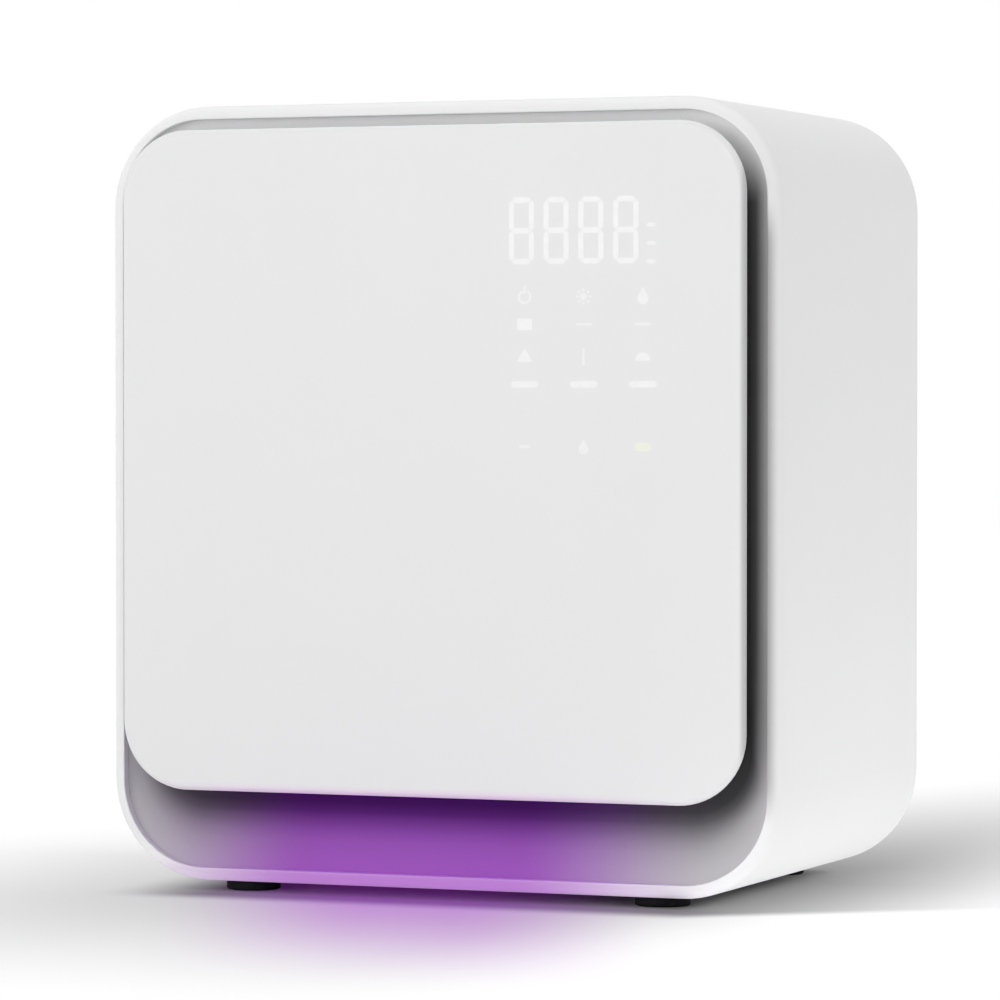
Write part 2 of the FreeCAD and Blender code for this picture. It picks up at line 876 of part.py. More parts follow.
def make_standoffs():
    posts = []
    for x in (power_x0 + standoff_inset, power_x1 - standoff_inset):
        for y in (power_y0 + standoff_inset, power_y1 - standoff_inset):
            posts.append(rod_z(x, y, casing_floor, board_low, standoff_radius))
    return Part.makeCompound(posts)


def make_power_board():
    return box(power_x0, power_x1, power_y0, power_y1, board_low, board_top)


def make_transformer():
    """Ferrite core with its winding standing out on both sides."""
    x0 = power_x0 + component_margin
    y0 = power_y0 + component_margin + transformer_coil
    x1 = x0 + transformer_width
    y1 = y0 + transformer_depth
    top = board_top + transformer_height
    swell = transformer_coil
    core = box(x0, x1, y0, y1, board_top, top)
    coil = box(x0 + swell, x1 - swell, y0 - swell, y1 + swell, board_top + swell, top - swell)
    bounds = [(edge, edge.BoundBox) for edge in coil.Edges]
    upright = [edge for edge, space in bounds if space.ZLength > space.XLength + space.YLength]
    return joined(core, [coil.makeFillet(transformer_coil_round, upright)])


def make_capacitors():
    cans = []
    for index in range(capacitor_count):
        x = power_x1 - component_margin - capacitor_radius - index * capacitor_pitch
        y = power_y0 + component_margin + capacitor_radius
        can = rod_z(x, y, board_top, board_top + capacitor_height, capacitor_radius)
        top = [edge for edge in can.Edges if edge.BoundBox.ZMin > board_top + capacitor_height - pick_slack]
        cans.append(can.makeFillet(capacitor_round, top))
    return Part.makeCompound(cans)


def make_heat_sink():
    """Comb of cooling fins on a base that lies on the board."""
    x1 = power_x1 - component_margin
    x0 = x1 - sink_width
    y1 = power_y1 - component_margin
    y0 = y1 - sink_depth
    base = box(x0, x1, y0, y1, board_top, board_top + sink_base)
    pitch = (sink_width - sink_fin_wall) / (sink_fin_count - 1)
    fins = []
    for index in range(sink_fin_count):
        x = x0 + index * pitch
        fins.append(box(x, x + sink_fin_wall, y0, y1, board_top, board_top + sink_height))
    return joined(base, fins)


# Door

display_area = (
    door_area[1] - display_from_edge - display_width,
    door_area[1] - display_from_edge,
    door_area[3] - display_from_top - display_height,
    door_area[3] - display_from_top,
)
touch_area = (
    display_area[0] - touch_board_margin,
    display_area[1] + touch_board_margin,
    display_area[3] + touch_board_margin - touch_board_height,
    display_area[3] + touch_board_margin,
)
touch_front = panel_back + display_depth
touch_back = touch_front + board_wall
light_middle = (panel_back + tray_floor) / 2
light_y = (light_middle - light_width / 2, light_middle + light_width / 2)


def leaf_screw_places():
    for z in hinge_heights.values():
        for side in (-1, 1):
            offset = (barrel_height + knuckle_height) / 2 - screw_head_radius
            yield hinge_x + leaf_length - screw_boss_radius, z + side * offset


def make_panel():
    panel = plate(door_area, door_corner, door_front, panel_back)
    panel = panel.makeFillet(panel_front_round, edges_at(panel, door_front, door_area))
    return panel.makeFillet(panel_back_round, edges_at(panel, panel_back, door_area))


def make_tray():
    """Moulded back of the door: a shallow tray with hinge notches, bosses and a striker for the switch."""
    tray = plate(tray_area, tray_corner, panel_back, tray_back)
    hollow = plate(grown(tray_area, -tray_wall), tray_corner - tray_wall, panel_back, tray_floor)
    tray = tray.cut(hollow)
    leaf_back = hinge_y + barrel_radius
    posts = []
    holes = []
    for x, z in leaf_screw_places():
        posts.append(rod_y(x, leaf_back, tray_back, z, screw_boss_radius))
        holes.append(rod_y(x, leaf_back, tray_floor, z, screw_radius + hole_fit))
    x0, x1, z0, z1 = grown(touch_area, -pillar_inset)
    for x in (x0, x1):
        for z in (z0, z1):
            posts.append(rod_y(x, touch_back, tray_back, z, pillar_radius))
    x, z = plunger_place()
    posts.append(rod_y(x, tray_floor, seat_y - plunger_stand - rest_gap, z, striker_radius))
    reach = hinge_reach + pin_head_height + notch_margin
    notch_end = tray_area[0] + notch_depth
    for z in hinge_heights.values():
        holes.append(box(hinge_x - barrel_radius, notch_end, panel_back, tray_back, z - reach, z + reach))
    wall_z = tray_area[2]
    holes.append(box(-light_length / 2, light_length / 2, light_y[0], light_y[1], wall_z, wall_z + tray_wall))
    return joined(tray, posts).cut(Part.makeCompound(holes))


def make_inner_plate():
    area = grown(opening_area, -inner_plate_inset)
    return plate(area, opening_corner - inner_plate_inset, tray_back, tray_back + inner_plate_wall)


def make_seal():
    """Door seal: a flat base with a rounded bead that meets the bezel."""
    base = ring(seal_area, opening_corner + seal_inset, seal_width, tray_back, tray_back + seal_base)
    bead_back = seat_y - rest_gap
    bead_area = grown(seal_area, seal_bulb_inset)
    bead_width = seal_width - 2 * seal_bulb_inset
    bead = ring(bead_area, opening_corner + seal_inset + seal_bulb_inset, bead_width, tray_back, bead_back)
    bead = bead.makeFillet(seal_bulb_round, edges_at(bead, bead_back, grown(bead_area, bead_width)))
    return joined(base, [bead])


def make_touch_board():
    x0, x1, z0, z1 = touch_area
    return box(x0, x1, touch_front, touch_back, z0, z1)


def make_display():
    x0, x1, z0, z1 = display_area
    return box(x0, x1, panel_back, touch_front, z0, z1)


def make_light_guide():
    """Bar of clear plastic let through the bottom of the tray, with a flange inside."""
    half = light_length / 2 - hole_fit
    top = tray_area[2] + tray_wall
    y0 = light_y[0] + hole_fit
    y1 = light_y[1] - hole_fit
    bar = box(-half, half, y0, y1, tray_area[2] - light_drop, top)
    wide = half + light_flange
    flange = box(-wide, wide, y0 - light_flange, y1 + light_flange, top, top + light_flange_wall)
    return joined(bar, [flange])


def make_light_board():
    half = light_length / 2
    low = tray_area[2] + tray_wall + light_flange_wall
    return box(-half, half, light_y[0], light_y[1], low, low + board_wall)


def make_magnets():
    blocks = []
    for x, z in catch_places():
        x0, x1, z0, z1 = centred(x, z, magnet_width, magnet_height)
        blocks.append(box(x0, x1, tray_back, seat_y - magnet_gap, z0, z1))
    return Part.makeCompound(blocks)


# Hinges

def make_bracket(z):
    """Fixed hinge half: a foot on the bezel, a leaning arm and a barrel round the pin."""
    low = z - barrel_height / 2
    foot_x = -land_middle
    lean = math.atan2(foot_x - hinge_x, seat_y - hinge_y)
    barrel = rod_z(hinge_x, hinge_y, low, low + barrel_height, barrel_radius)
    shift = arm_wall / 2 / math.cos(lean)
    corners = [
        vec(hinge_x - shift, hinge_y, low),
        vec(hinge_x + shift, hinge_y, low),
        vec(foot_x + shift, seat_y, low),
        vec(foot_x - shift, seat_y, low),
    ]
    arm = Part.Face(Part.makePolygon(corners + corners[:1])).extrude(vec(0, 0, barrel_height))
    foot = box(
        foot_x - bracket_foot_width / 2,
        foot_x + bracket_foot_width / 2,
        seat_y - bracket_foot_wall,
        seat_y,
        z - bracket_foot_height / 2,
        z + bracket_foot_height / 2,
    )
    holes = [rod_z(hinge_x, hinge_y, low, low + barrel_height, pin_radius + pin_fit)]
    for x, screw_z in bracket_screw_places():
        holes.append(rod_y(x, seat_y - bracket_foot_wall, seat_y, screw_z, screw_radius + hole_fit))
    return joined(barrel, [arm, foot]).cut(Part.makeCompound(holes))


def make_pin(z):
    stem = rod_z(hinge_x, hinge_y, z - hinge_reach, z + hinge_reach, pin_radius)
    head = rod_z(hinge_x, hinge_y, z + hinge_reach, z + hinge_reach + pin_head_height, pin_head_radius)
    return joined(stem, [head])


def make_leaf(z):
    """Door hinge half: two knuckles and a plate that is screwed inside the tray."""
    plate_back = hinge_y + barrel_radius
    strap = box(
        hinge_x, hinge_x + leaf_length, plate_back - leaf_wall, plate_back, z - hinge_reach, z + hinge_reach
    )
    inner = barrel_height / 2 + knuckle_gap
    room = box(hinge_x, hinge_x + leaf_arm_gap, plate_back - leaf_wall, plate_back, z - inner, z + inner)
    strap = strap.cut(room)
    knuckles = []
    for side in (-1, 1):
        near = z + side * inner
        far = z + side * hinge_reach
        knuckles.append(rod_z(hinge_x, hinge_y, min(near, far), max(near, far), barrel_radius))
    bore = rod_z(hinge_x, hinge_y, z - hinge_reach, z + hinge_reach, pin_radius + pin_fit)
    holes = [bore]
    for x, screw_z in leaf_screw_places():
        holes.append(rod_y(x, plate_back - leaf_wall, plate_back, screw_z, screw_radius + hole_fit))
    return joined(strap, knuckles).cut(Part.makeCompound(holes))


def make_leaf_screws():
    seat = hinge_y + barrel_radius - leaf_wall
    tip = tray_floor - rest_gap
    return Part.makeCompound([screw_y(x, z, seat, tip) for x, z in leaf_screw_places()])


def make_bracket_screws():
    seat = seat_y - bracket_foot_wall
    return Part.makeCompound([screw_y(x, z, seat, seat + screw_length) for x, z in bracket_screw_places()])


nodes = {
    "outer_casing": make_casing(),
    "rubber_feet": make_feet(),
    "front_bezel": make_bezel(),
    "catch_plates": make_catch_plates(),
    "interlock_switch": make_interlock_switch(),
    "interlock_plunger": make_plunger(),
    "chamber_liner": make_liner(),
    "chamber_back": make_chamber_back(),
    "air_diffuser": make_diffuser(),
    "rack_rails": make_rails(),
    "lower_rack": make_rack(rail_levels["lower"]),
    "upper_rack": make_rack(rail_levels["upper"]),
    "fan_frame": make_fan_frame(),
    "fan_rotor": make_fan_rotor(),
    "fan_screws": make_fan_screws(),
    "heater_duct": make_duct(),
    "heater_core": make_heater(),
    "rear_panel": make_rear_panel(),
    "rear_screws": make_rear_screws(),
    "filter_cover": make_filter_cover(),
    "filter_pad": make_filter_pad(),
    "power_inlet": make_inlet(),
    "inlet_pins": make_inlet_pins(),
    "board_standoffs": make_standoffs(),
    "power_board": make_power_board(),
    "transformer": make_transformer(),
    "capacitors": make_capacitors(),
    "heat_sink": make_heat_sink(),
    "door_panel": make_panel(),
    "door_tray": make_tray(),
    "door_inner_plate": make_inner_plate(),
    "door_seal": make_seal(),
    "touch_board": make_touch_board(),
    "display_module": make_display(),
    "light_guide": make_light_guide(),
    "light_board": make_light_board(),
    "door_magnets": make_magnets(),
    "leaf_screws": make_leaf_screws(),
    "bracket_screws": make_bracket_screws(),
}
for name, height in hinge_heights.items():
    nodes[f"hinge_bracket_{name}"] = make_bracket(height)
    nodes[f"hinge_pin_{name}"] = make_pin(height)
    nodes[f"hinge_leaf_{name}"] = make_leaf(height)
nodes.update(placed_uv_bars())

os.makedirs("parts", exist_ok=True)
for name, shape in nodes.items():
    shape.exportStep(f"parts/{name}.step")
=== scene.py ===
"""Looks of the cabinet steriliser: a finish for every solid, the lit marks on its door, and the studio."""

import json
import math

import bmesh
import bpy
from mathutils import Matrix, Vector


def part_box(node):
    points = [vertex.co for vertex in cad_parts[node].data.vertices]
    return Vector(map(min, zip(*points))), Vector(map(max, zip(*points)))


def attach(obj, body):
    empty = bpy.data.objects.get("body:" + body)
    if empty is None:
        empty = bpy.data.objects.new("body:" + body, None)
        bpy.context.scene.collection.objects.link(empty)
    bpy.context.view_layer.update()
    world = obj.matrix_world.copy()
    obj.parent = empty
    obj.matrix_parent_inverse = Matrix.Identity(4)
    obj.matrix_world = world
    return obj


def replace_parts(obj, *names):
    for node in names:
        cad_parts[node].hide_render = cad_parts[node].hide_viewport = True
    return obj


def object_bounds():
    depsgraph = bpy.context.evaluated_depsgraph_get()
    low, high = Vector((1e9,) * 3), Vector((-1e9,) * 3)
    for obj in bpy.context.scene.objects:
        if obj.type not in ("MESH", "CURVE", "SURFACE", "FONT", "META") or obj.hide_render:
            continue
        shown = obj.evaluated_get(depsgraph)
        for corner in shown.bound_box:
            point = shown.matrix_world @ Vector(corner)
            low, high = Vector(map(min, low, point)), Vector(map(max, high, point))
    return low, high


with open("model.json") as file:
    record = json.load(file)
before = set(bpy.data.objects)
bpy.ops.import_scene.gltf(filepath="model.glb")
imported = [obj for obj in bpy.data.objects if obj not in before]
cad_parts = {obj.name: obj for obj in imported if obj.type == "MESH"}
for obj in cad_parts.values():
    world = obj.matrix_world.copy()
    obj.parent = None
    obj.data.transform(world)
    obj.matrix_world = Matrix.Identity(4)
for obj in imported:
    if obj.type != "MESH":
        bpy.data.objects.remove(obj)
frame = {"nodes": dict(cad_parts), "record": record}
cad_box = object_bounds()
nodes = frame["nodes"]
mm = 0.001

# Camera, from the photograph's vanishing points
camera_place = Vector((912, -2283, 240)) * mm
camera_yaw = math.radians(21.949)
camera_fall = math.radians(1.243)
camera_lens = 181.4
camera_sensor = 36.0
camera_reach = 50.0

# Studio: soft lamps from the front, the right and above, low ones beside the casing and under its lip,
# and a white surround
ambient_level = 0.35
key_level = 1.54
key_toward = Vector((-0.38, -0.90, 0.10))
key_softness = math.radians(40)
fill_level = 1.20
fill_toward = Vector((0.96, 0.20, -0.10))
fill_softness = math.radians(60)
top_level = 1.15
top_toward = Vector((0.0, 0.0, 1.0))
top_softness = math.radians(80)
side_bounce_power = 0.236
side_bounce_width = 0.30
side_bounce_depth = 0.55
side_bounce_gap = -0.045
side_bounce_back = 0.075
lip_bounce_power = 0.0061
lip_bounce_width = 0.28
lip_bounce_middle = -30 * mm
lip_bounce_depth = 20 * mm
lip_bounce_ahead = 3 * mm
bounce_height = 1 * mm
floor_reach = 6.0
floor_tone = 0.90
# Seen directly the table is darker, and its own light lifts it to white away from the object, leaving a
# painted shadow near it over the real one; the reach of that painted shadow follows
floor_seen_tone = 0.30
floor_lift = 0.75
shadow_inset = 60 * mm
shadow_right = 120 * mm
shadow_back_left = 300 * mm
shadow_back_right = 950 * mm
shadow_lean = 0.7
shadow_lean_start = 130 * mm
near_share = 0.52
near_front_start = 5 * mm
near_front_end = 27 * mm
near_left_inset = 58 * mm
near_left = 2 * mm
far_left_inset = 90 * mm
far_left = 250 * mm
far_front = 450 * mm
far_right_start = 60 * mm
far_right_end = 200 * mm

# Violet light under the door, and the violet glow painted into the colours of what lies below it
violet = (0.56, 0.03, 1.0)
violet_strength = 3.0
glow_middle = -16 * mm
glow_full = 50 * mm
glow_end = 160 * mm
chin_painted_violet_glow = (0.61, 0.125, 0.84)
door_painted_violet_glow = (1.0, 0.80, 1.0)
door_glow_reach = 5 * mm
lip_painted_violet_glow = (0.60, 0.27, 0.72)
floor_painted_violet_glow = (0.80, 0.48, 0.93)
gap_painted_violet_glow = (0.07, 0.006, 0.11)
lip_glow_top = 18 * mm
lip_glow_full = 10 * mm
chin_glow_top = 80 * mm
chin_glow_full = 55 * mm
floor_glow_lean = 0.40
floor_glow_wide = 20 * mm
floor_glow_edge = 130 * mm
floor_glow_back = 160 * mm
floor_glow_full = 20 * mm
floor_glow_end = 350 * mm

# Shade painted between the door's free edge and the lip beside it, on the lip and on the door's edge
lip_width = 6.5 * mm
lip_shade = (0.50, 0.50, 0.50)
lip_shade_reach = 6.2 * mm
lip_shade_depth = 5 * mm
lip_shade_low = 38 * mm
lip_shade_high = 330 * mm
lip_shade_fade = 25 * mm
door_edge_shade = (0.65, 0.65, 0.65)
door_edge_reach = 3 * mm

# Recess: shade painted darker inwards, most of all under the door, and light painted paler along its top
bezel_wall = 2.5 * mm
side_painted_shade = ((0.0, 0.74), (0.2, 0.61), (0.35, 0.42), (0.45, 0.26), (0.55, 0.155), (0.9, 0.10))
chin_painted_shade = ((0.0, 0.56), (0.15, 0.50), (0.3, 0.42), (0.4, 0.335), (0.5, 0.225), (0.6, 0.125), (0.7, 0.075))
chin_tone_full = 60 * mm
chin_tone_end = 150 * mm
recess_shine = 0.30
chin_shine = 0.04
chin_shine_start = 0.3
chin_shine_end = 0.6
recess_top_painted_light = (0.91, 0.91, 0.915)
recess_top_fade = 48 * mm
recess_top_full = 22 * mm

# Grain of the finishes: its size, how much longer it is along one axis, and its relief
cloud_size = 90 * mm
gloss_size = 45 * mm
skin_speck = 0.5 * mm
skin_relief = 0.006 * mm
door_speck = 1.2 * mm
door_relief = 0.003 * mm
brush_size = 0.28 * mm
brush_stretch = 220
brush_relief = 0.012 * mm
streak_size = 3 * mm
streak_stretch = 90
crystal_size = 1.5 * mm
crystal_relief = 0.01 * mm
haze_size = 2.5 * mm
die_mark_size = 0.5 * mm
die_mark_stretch = 40
die_mark_relief = 0.004 * mm
dust_size = 0.7 * mm
dust_relief = 0.02 * mm
board_cell = 4 * mm
board_relief = 0.03 * mm
pore_size = 0.4 * mm
pore_relief = 0.04 * mm
wipe_size = 6 * mm
wipe_stretch = 4
wave_size = 12 * mm
wave_stretch = 4
frost_size = 0.4 * mm
frost_relief = 0.01 * mm
patch_size = 3 * mm
fibre_size = 0.35 * mm
fibre_stretch = 9
fibre_relief = 0.15 * mm
dot_size = 0.8 * mm

# Marks on the door, placed on the display and the touch board behind it
mark_stand = 0.05 * mm
mark_sink = 0.05 * mm
round_steps = 20
digit_count = 4
digit_width = 12.5 * mm
digit_height = 31.0 * mm
digit_pitch = 17.2 * mm
digit_stroke = 2.6 * mm
digit_margin = 1.5 * mm
segment_gap = 0.4 * mm
side_mark_length = 4.6 * mm
side_mark_wall = 1.8 * mm
side_mark_spread = 8.4 * mm
side_mark_drop = 6.3 * mm
key_edge = 19.3 * mm
key_pitch = 29.2 * mm
icon_drop = 12.6 * mm
label_drop = 25.4 * mm
symbol_drop = 40.5 * mm
bar_drop = 53.1 * mm
foot_drop = 81.9 * mm
icon_radius = 3.4 * mm
icon_stroke = 1.1 * mm
bar_length = 13.5 * mm
bar_wall = 3.0 * mm
ray_count = 8
power_gap = 60
drop_share = 0.8
ray_near_share = 0.72
ray_far_share = 1.1
label_width_share = 2.2
label_height_share = 1.6
dash_share = 2.4
triangle_share = 1.3
dome_share = 1.1
foot_dash_share = 1.6
foot_drop_share = 0.7
lamp_wall_share = 1.2

# Cross recess screws
screw_head_radius = 2.8 * mm
screw_head_height = 1.6 * mm
screw_shank_radius = 1.4 * mm
screw_length = 8.0 * mm
screw_crown = 0.55 * mm
screw_recess_length = 3.2 * mm
screw_recess_width = 0.8 * mm
screw_recess_depth = 0.9 * mm
bracket_screw_inset = 3.8 * mm
screw_seed = 7
head_sides = 32
head_rings = 2
head_rounds = 6
shank_sides = 16

# Pleated filter
pleat_count = 20
pleat_points = 10
pleat_rows = 24
pleat_ripple = 0.5 * mm
ripple_size = 18 * mm
felt_thickness = 0.6 * mm
felt_slack = 0.15 * mm


# Node helpers

def add_node(tree, kind, inputs=None, **settings):
    """New node with its settings; an input that is given a socket is linked to it."""
    node = tree.nodes.new(kind)
    for name, value in settings.items():
        setattr(node, name, value)
    for name, value in (inputs or {}).items():
        if isinstance(value, bpy.types.NodeSocket):
            tree.links.new(value, node.inputs[name])
        else:
            node.inputs[name].default_value = value
    return node


def arithmetic(tree, operation, first, second=0.0):
    return add_node(tree, "ShaderNodeMath", {0: first, 1: second}, operation=operation).outputs[0]


def product(tree, *values):
    result = values[0]
    for value in values[1:]:
        result = arithmetic(tree, "MULTIPLY", result, value)
    return result


def new_finish(name, **sockets):
    """Material with one main shader, whose plain values are set on its own sockets."""
    material = bpy.data.materials.new(name)
    material.use_nodes = True
    tree = material.node_tree
    shader = tree.nodes["Principled BSDF"]
    for socket, value in sockets.items():
        shader.inputs[socket.replace("_", " ")].default_value = value
    return material, tree, shader


def object_place(tree):
    return add_node(tree, "ShaderNodeTexCoord").outputs["Object"]


def object_axes(tree):
    """The sockets X, Y and Z of the place on the object, in metres."""
    return add_node(tree, "ShaderNodeSeparateXYZ", {"Vector": object_place(tree)}).outputs


def grain(tree, size, stretch=(1, 1, 1), detail=2.0):
    """Noise in Object coordinates, of a speck's width in metres, drawn out along an axis by stretch."""
    scale = [1 / (size * factor) for factor in stretch]
    place = add_node(tree, "ShaderNodeMapping", {"Vector": object_place(tree), "Scale": scale})
    noise = add_node(
        tree, "ShaderNodeTexNoise", {"Vector": place.outputs["Vector"], "Scale": 1.0, "Detail": detail}
    )
    return noise.outputs["Fac"]


def cells(tree, size, **settings):
    """Distance from the middles of scattered cells, in Object coordinates."""
    place = add_node(tree, "ShaderNodeMapping", {"Vector": object_place(tree), "Scale": [1 / size] * 3})
    pattern = add_node(
        tree, "ShaderNodeTexVoronoi", {"Vector": place.outputs["Vector"], "Scale": 1.0}, **settings
    )
    return pattern.outputs["Distance"]


def spread(tree, value, low, high, start=0.3, end=0.7, interpolation="LINEAR"):
    """A varying value brought from its own start and end to a low and a high figure."""
    node = add_node(
        tree,
        "ShaderNodeMapRange",
        {"Value": value, "From Min": start, "From Max": end, "To Min": low, "To Max": high},
        interpolation_type=interpolation,
    )
    return node.outputs["Result"]


def faded(tree, value, full, none):
    """1 where the value is at full or past it, easing to 0 at none."""
    return spread(tree, value, 0.0, 1.0, none, full, "SMOOTHSTEP")


def tones(tree, value, stops):
    """Colour ramp through stops of (place, colour)."""
    ramp = add_node(tree, "ShaderNodeValToRGB", {"Fac": value})
    elements = ramp.color_ramp.elements
    while len(elements) < len(stops):
        elements.new(1.0)
    for element, (place, colour) in zip(elements, stops):
        element.position = place
        element.color = (*colour, 1.0)
    return ramp.outputs["Color"]


def greys(tree, value, stops):
    """Colour ramp through stops of (place, tone)."""
    return tones(tree, value, [(place, (tone, tone, tone)) for place, tone in stops])


def blended(tree, colour, other, amount, blend="MIX"):
    """A colour turned into another as far as the amount goes."""
    inputs = {0: amount, 6: colour, 7: other}
    mix = add_node(tree, "ShaderNodeMix", inputs, data_type="RGBA", blend_type=blend)
    return mix.outputs[2]


def mixed(tree, colour, other, amount):
    return blended(tree, colour, (*other, 1.0), amount)


# Multiplies a tint into a colour: painted violet glow and painted shade, and the table's darker seen tone
def colour_multiplied(tree, colour, painted_tint, amount):
    return blended(tree, colour, (*painted_tint, 1.0), amount, "MULTIPLY")


def relief(tree, shader, value, depth):
    bump = add_node(tree, "ShaderNodeBump", {"Height": value, "Distance": depth, "Strength": 1.0})
    tree.links.new(bump.outputs["Normal"], shader.inputs["Normal"])


def tinted(colour, factor):
    return tuple(min(1.0, channel * factor) for channel in colour)


# Reach of the violet glow and of the shade that are painted into colours

def glow_across(tree, place, full, none):
    """1 under the middle of the light bar, easing to 0 past its ends."""
    aside = arithmetic(tree, "ABSOLUTE", arithmetic(tree, "SUBTRACT", place, glow_middle))
    return faded(tree, aside, full, none)


def lip_glow(tree):
    """Share of the violet glow painted on the casing's lower lip."""
    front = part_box("outer_casing")[0].y
    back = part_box("front_bezel")[1].y
    axes = object_axes(tree)
    low = faded(tree, axes["Z"], lip_glow_full, lip_glow_top)
    forward = faded(tree, axes["Y"], front, back)
    return product(tree, glow_across(tree, axes["X"], glow_full, glow_end), low, forward)


def door_shade(tree):
    """Share of the door's soft shade painted on the lip, along the door's free edge."""
    low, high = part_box("outer_casing")
    edge = high.x - lip_width
    axes = object_axes(tree)
    beside = faded(tree, axes["X"], edge, edge + lip_shade_reach)
    forward = faded(tree, axes["Y"], low.y, low.y + lip_shade_depth)
    above = faded(tree, axes["Z"], lip_shade_low + lip_shade_fade, lip_shade_low)
    below = faded(tree, axes["Z"], lip_shade_high - lip_shade_fade, lip_shade_high)
    right = faded(tree, axes["X"], edge, 0.0)
    return product(tree, beside, forward, above, below, right)


def free_edge(tree):
    """1 at the door's free edge, easing to 0 across its rounding, where shade is painted on the door."""
    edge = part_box("door_panel")[1].x
    return faded(tree, object_axes(tree)["X"], edge, edge - door_edge_reach)


def door_glow(tree):
    """Share of the violet glow painted on the door's lower edge."""
    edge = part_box("door_panel")[0].z
    axes = object_axes(tree)
    low = faded(tree, axes["Z"], edge, edge + door_glow_reach)
    return product(tree, glow_across(tree, axes["X"], glow_full, glow_end), low)


def chin_glow(tree):
    """Share of the violet glow painted on the sloped chin under the door."""
    axes = object_axes(tree)
    low = faded(tree, axes["Z"], chin_glow_full, chin_glow_top)
    return product(tree, glow_across(tree, axes["X"], glow_full, glow_end), low)


def floor_glow(tree):
    """Share of the violet glow painted on the table before the casing."""
    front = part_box("outer_casing")[0].y
    axes = object_axes(tree)
    near = faded(tree, axes["Y"], front - floor_glow_full, front - floor_glow_end)
    before = faded(tree, axes["Y"], front, front + floor_glow_back)
    lean = product(tree, arithmetic(tree, "SUBTRACT", axes["Y"], front), floor_glow_lean)
    straight = arithmetic(tree, "ADD", axes["X"], lean)
    return product(tree, glow_across(tree, straight, floor_glow_wide, floor_glow_edge), near, before)


# Finishes

def moulded_plastic(
    name, colour, roughness, speck=skin_speck, depth=skin_relief, clouding=0.004, painted_light=(), **sockets
):
    """Injection moulded plastic: spark textured skin, with faint clouding of its colour and gloss, and any
    painted light and shade multiplied into its colour.
    """
    material, tree, shader = new_finish(name, **sockets)
    clouds = grain(tree, cloud_size, detail=1.0)
    base = tones(tree, clouds, [(0.3, tinted(colour, 1 - clouding)), (0.7, tinted(colour, 1 + clouding))])
    for reach, painted_tint in painted_light:
        base = colour_multiplied(tree, base, painted_tint, reach(tree))
    tree.links.new(base, shader.inputs["Base Color"])
    skin = grain(tree, speck, detail=3.0)
    gloss = spread(tree, grain(tree, gloss_size, detail=1.0), roughness * 0.95, roughness * 1.05)
    tree.links.new(gloss, shader.inputs["Roughness"])
    relief(tree, shader, skin, depth)
    return material


def recess_plastic(name, roughness):
    """Satin plastic of the sloped recess, with shade painted darker towards the door's seat where the door
    shades it, light painted paler along its top, and violet glow painted on the chin.
    """
    low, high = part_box("front_bezel")
    material, tree, shader = new_finish(name, Roughness=roughness)
    axes = object_axes(tree)
    depth = spread(tree, axes["Y"], 0.0, 1.0, low.y, high.y - bezel_wall)
    beside = greys(tree, depth, side_painted_shade)
    below = greys(tree, depth, chin_painted_shade)
    under = faded(tree, axes["Z"], chin_tone_full, chin_tone_end)
    shade = blended(tree, beside, below, under)
    shaded = product(tree, depth, under)
    shine = spread(tree, shaded, recess_shine, chin_shine, chin_shine_start, chin_shine_end)
    tree.links.new(shine, shader.inputs["Specular IOR Level"])
    above = faded(tree, axes["Z"], high.z - recess_top_full, high.z - recess_top_fade)
    shade = mixed(tree, shade, recess_top_painted_light, above)
    base = colour_multiplied(tree, shade, chin_painted_violet_glow, chin_glow(tree))
    tree.links.new(base, shader.inputs["Base Color"])
    relief(tree, shader, grain(tree, skin_speck, detail=3.0), skin_relief)
    return material


def brushed_sheet(name, colour, along, roughness=0.34):
    """Brushed stainless sheet: fine lines along one axis, with soft streaks across the sheet."""
    material, tree, shader = new_finish(name, Metallic=1.0)
    lines = grain(tree, brush_size, [brush_stretch if axis == along else 1 for axis in "xyz"], detail=3.0)
    streaks = grain(tree, streak_size, [streak_stretch if axis == along else 1 for axis in "xyz"])
    base = tones(tree, lines, [(0.25, tinted(colour, 0.90)), (0.75, tinted(colour, 1.06))])
    tree.links.new(base, shader.inputs["Base Color"])
    gloss = spread(tree, streaks, roughness * 0.92, roughness * 1.1)
    tree.links.new(gloss, shader.inputs["Roughness"])
    relief(tree, shader, lines, brush_relief)
    return material


def plated_steel(name, colour, roughness):
    """Zinc plated steel: small mottled crystals and a slight haze."""
    material, tree, shader = new_finish(name, Metallic=1.0)
    mottle = cells(tree, crystal_size)
    base = tones(tree, mottle, [(0.1, tinted(colour, 0.92)), (0.8, tinted(colour, 1.08))])
    tree.links.new(base, shader.inputs["Base Color"])
    haze = spread(tree, grain(tree, haze_size), roughness * 0.8, roughness * 1.25)
    tree.links.new(haze, shader.inputs["Roughness"])
    relief(tree, shader, mottle, crystal_relief)
    return material


def drawn_wire(name, colour):
    """Polished stainless wire with fine die marks."""
    material, tree, shader = new_finish(name, Metallic=1.0)
    marks = grain(tree, die_mark_size, (1, die_mark_stretch, 1))
    base = tones(tree, marks, [(0.3, tinted(colour, 0.94)), (0.7, tinted(colour, 1.04))])
    tree.links.new(base, shader.inputs["Base Color"])
    tree.links.new(spread(tree, marks, 0.12, 0.22), shader.inputs["Roughness"])
    relief(tree, shader, marks, die_mark_relief)
    return material


def dusty_rubber(name, colour, roughness, dust, shine):
    """Rubber or silicone with a dusting of paler specks."""
    material, tree, shader = new_finish(name, Specular_IOR_Level=shine)
    specks = grain(tree, dust_size, detail=5.0)
    base = tones(tree, specks, [(0.45, colour), (0.8, tinted(colour, dust))])
    tree.links.new(base, shader.inputs["Base Color"])
    tree.links.new(spread(tree, specks, roughness * 0.9, roughness * 1.1), shader.inputs["Roughness"])
    relief(tree, shader, specks, dust_relief)
    return material


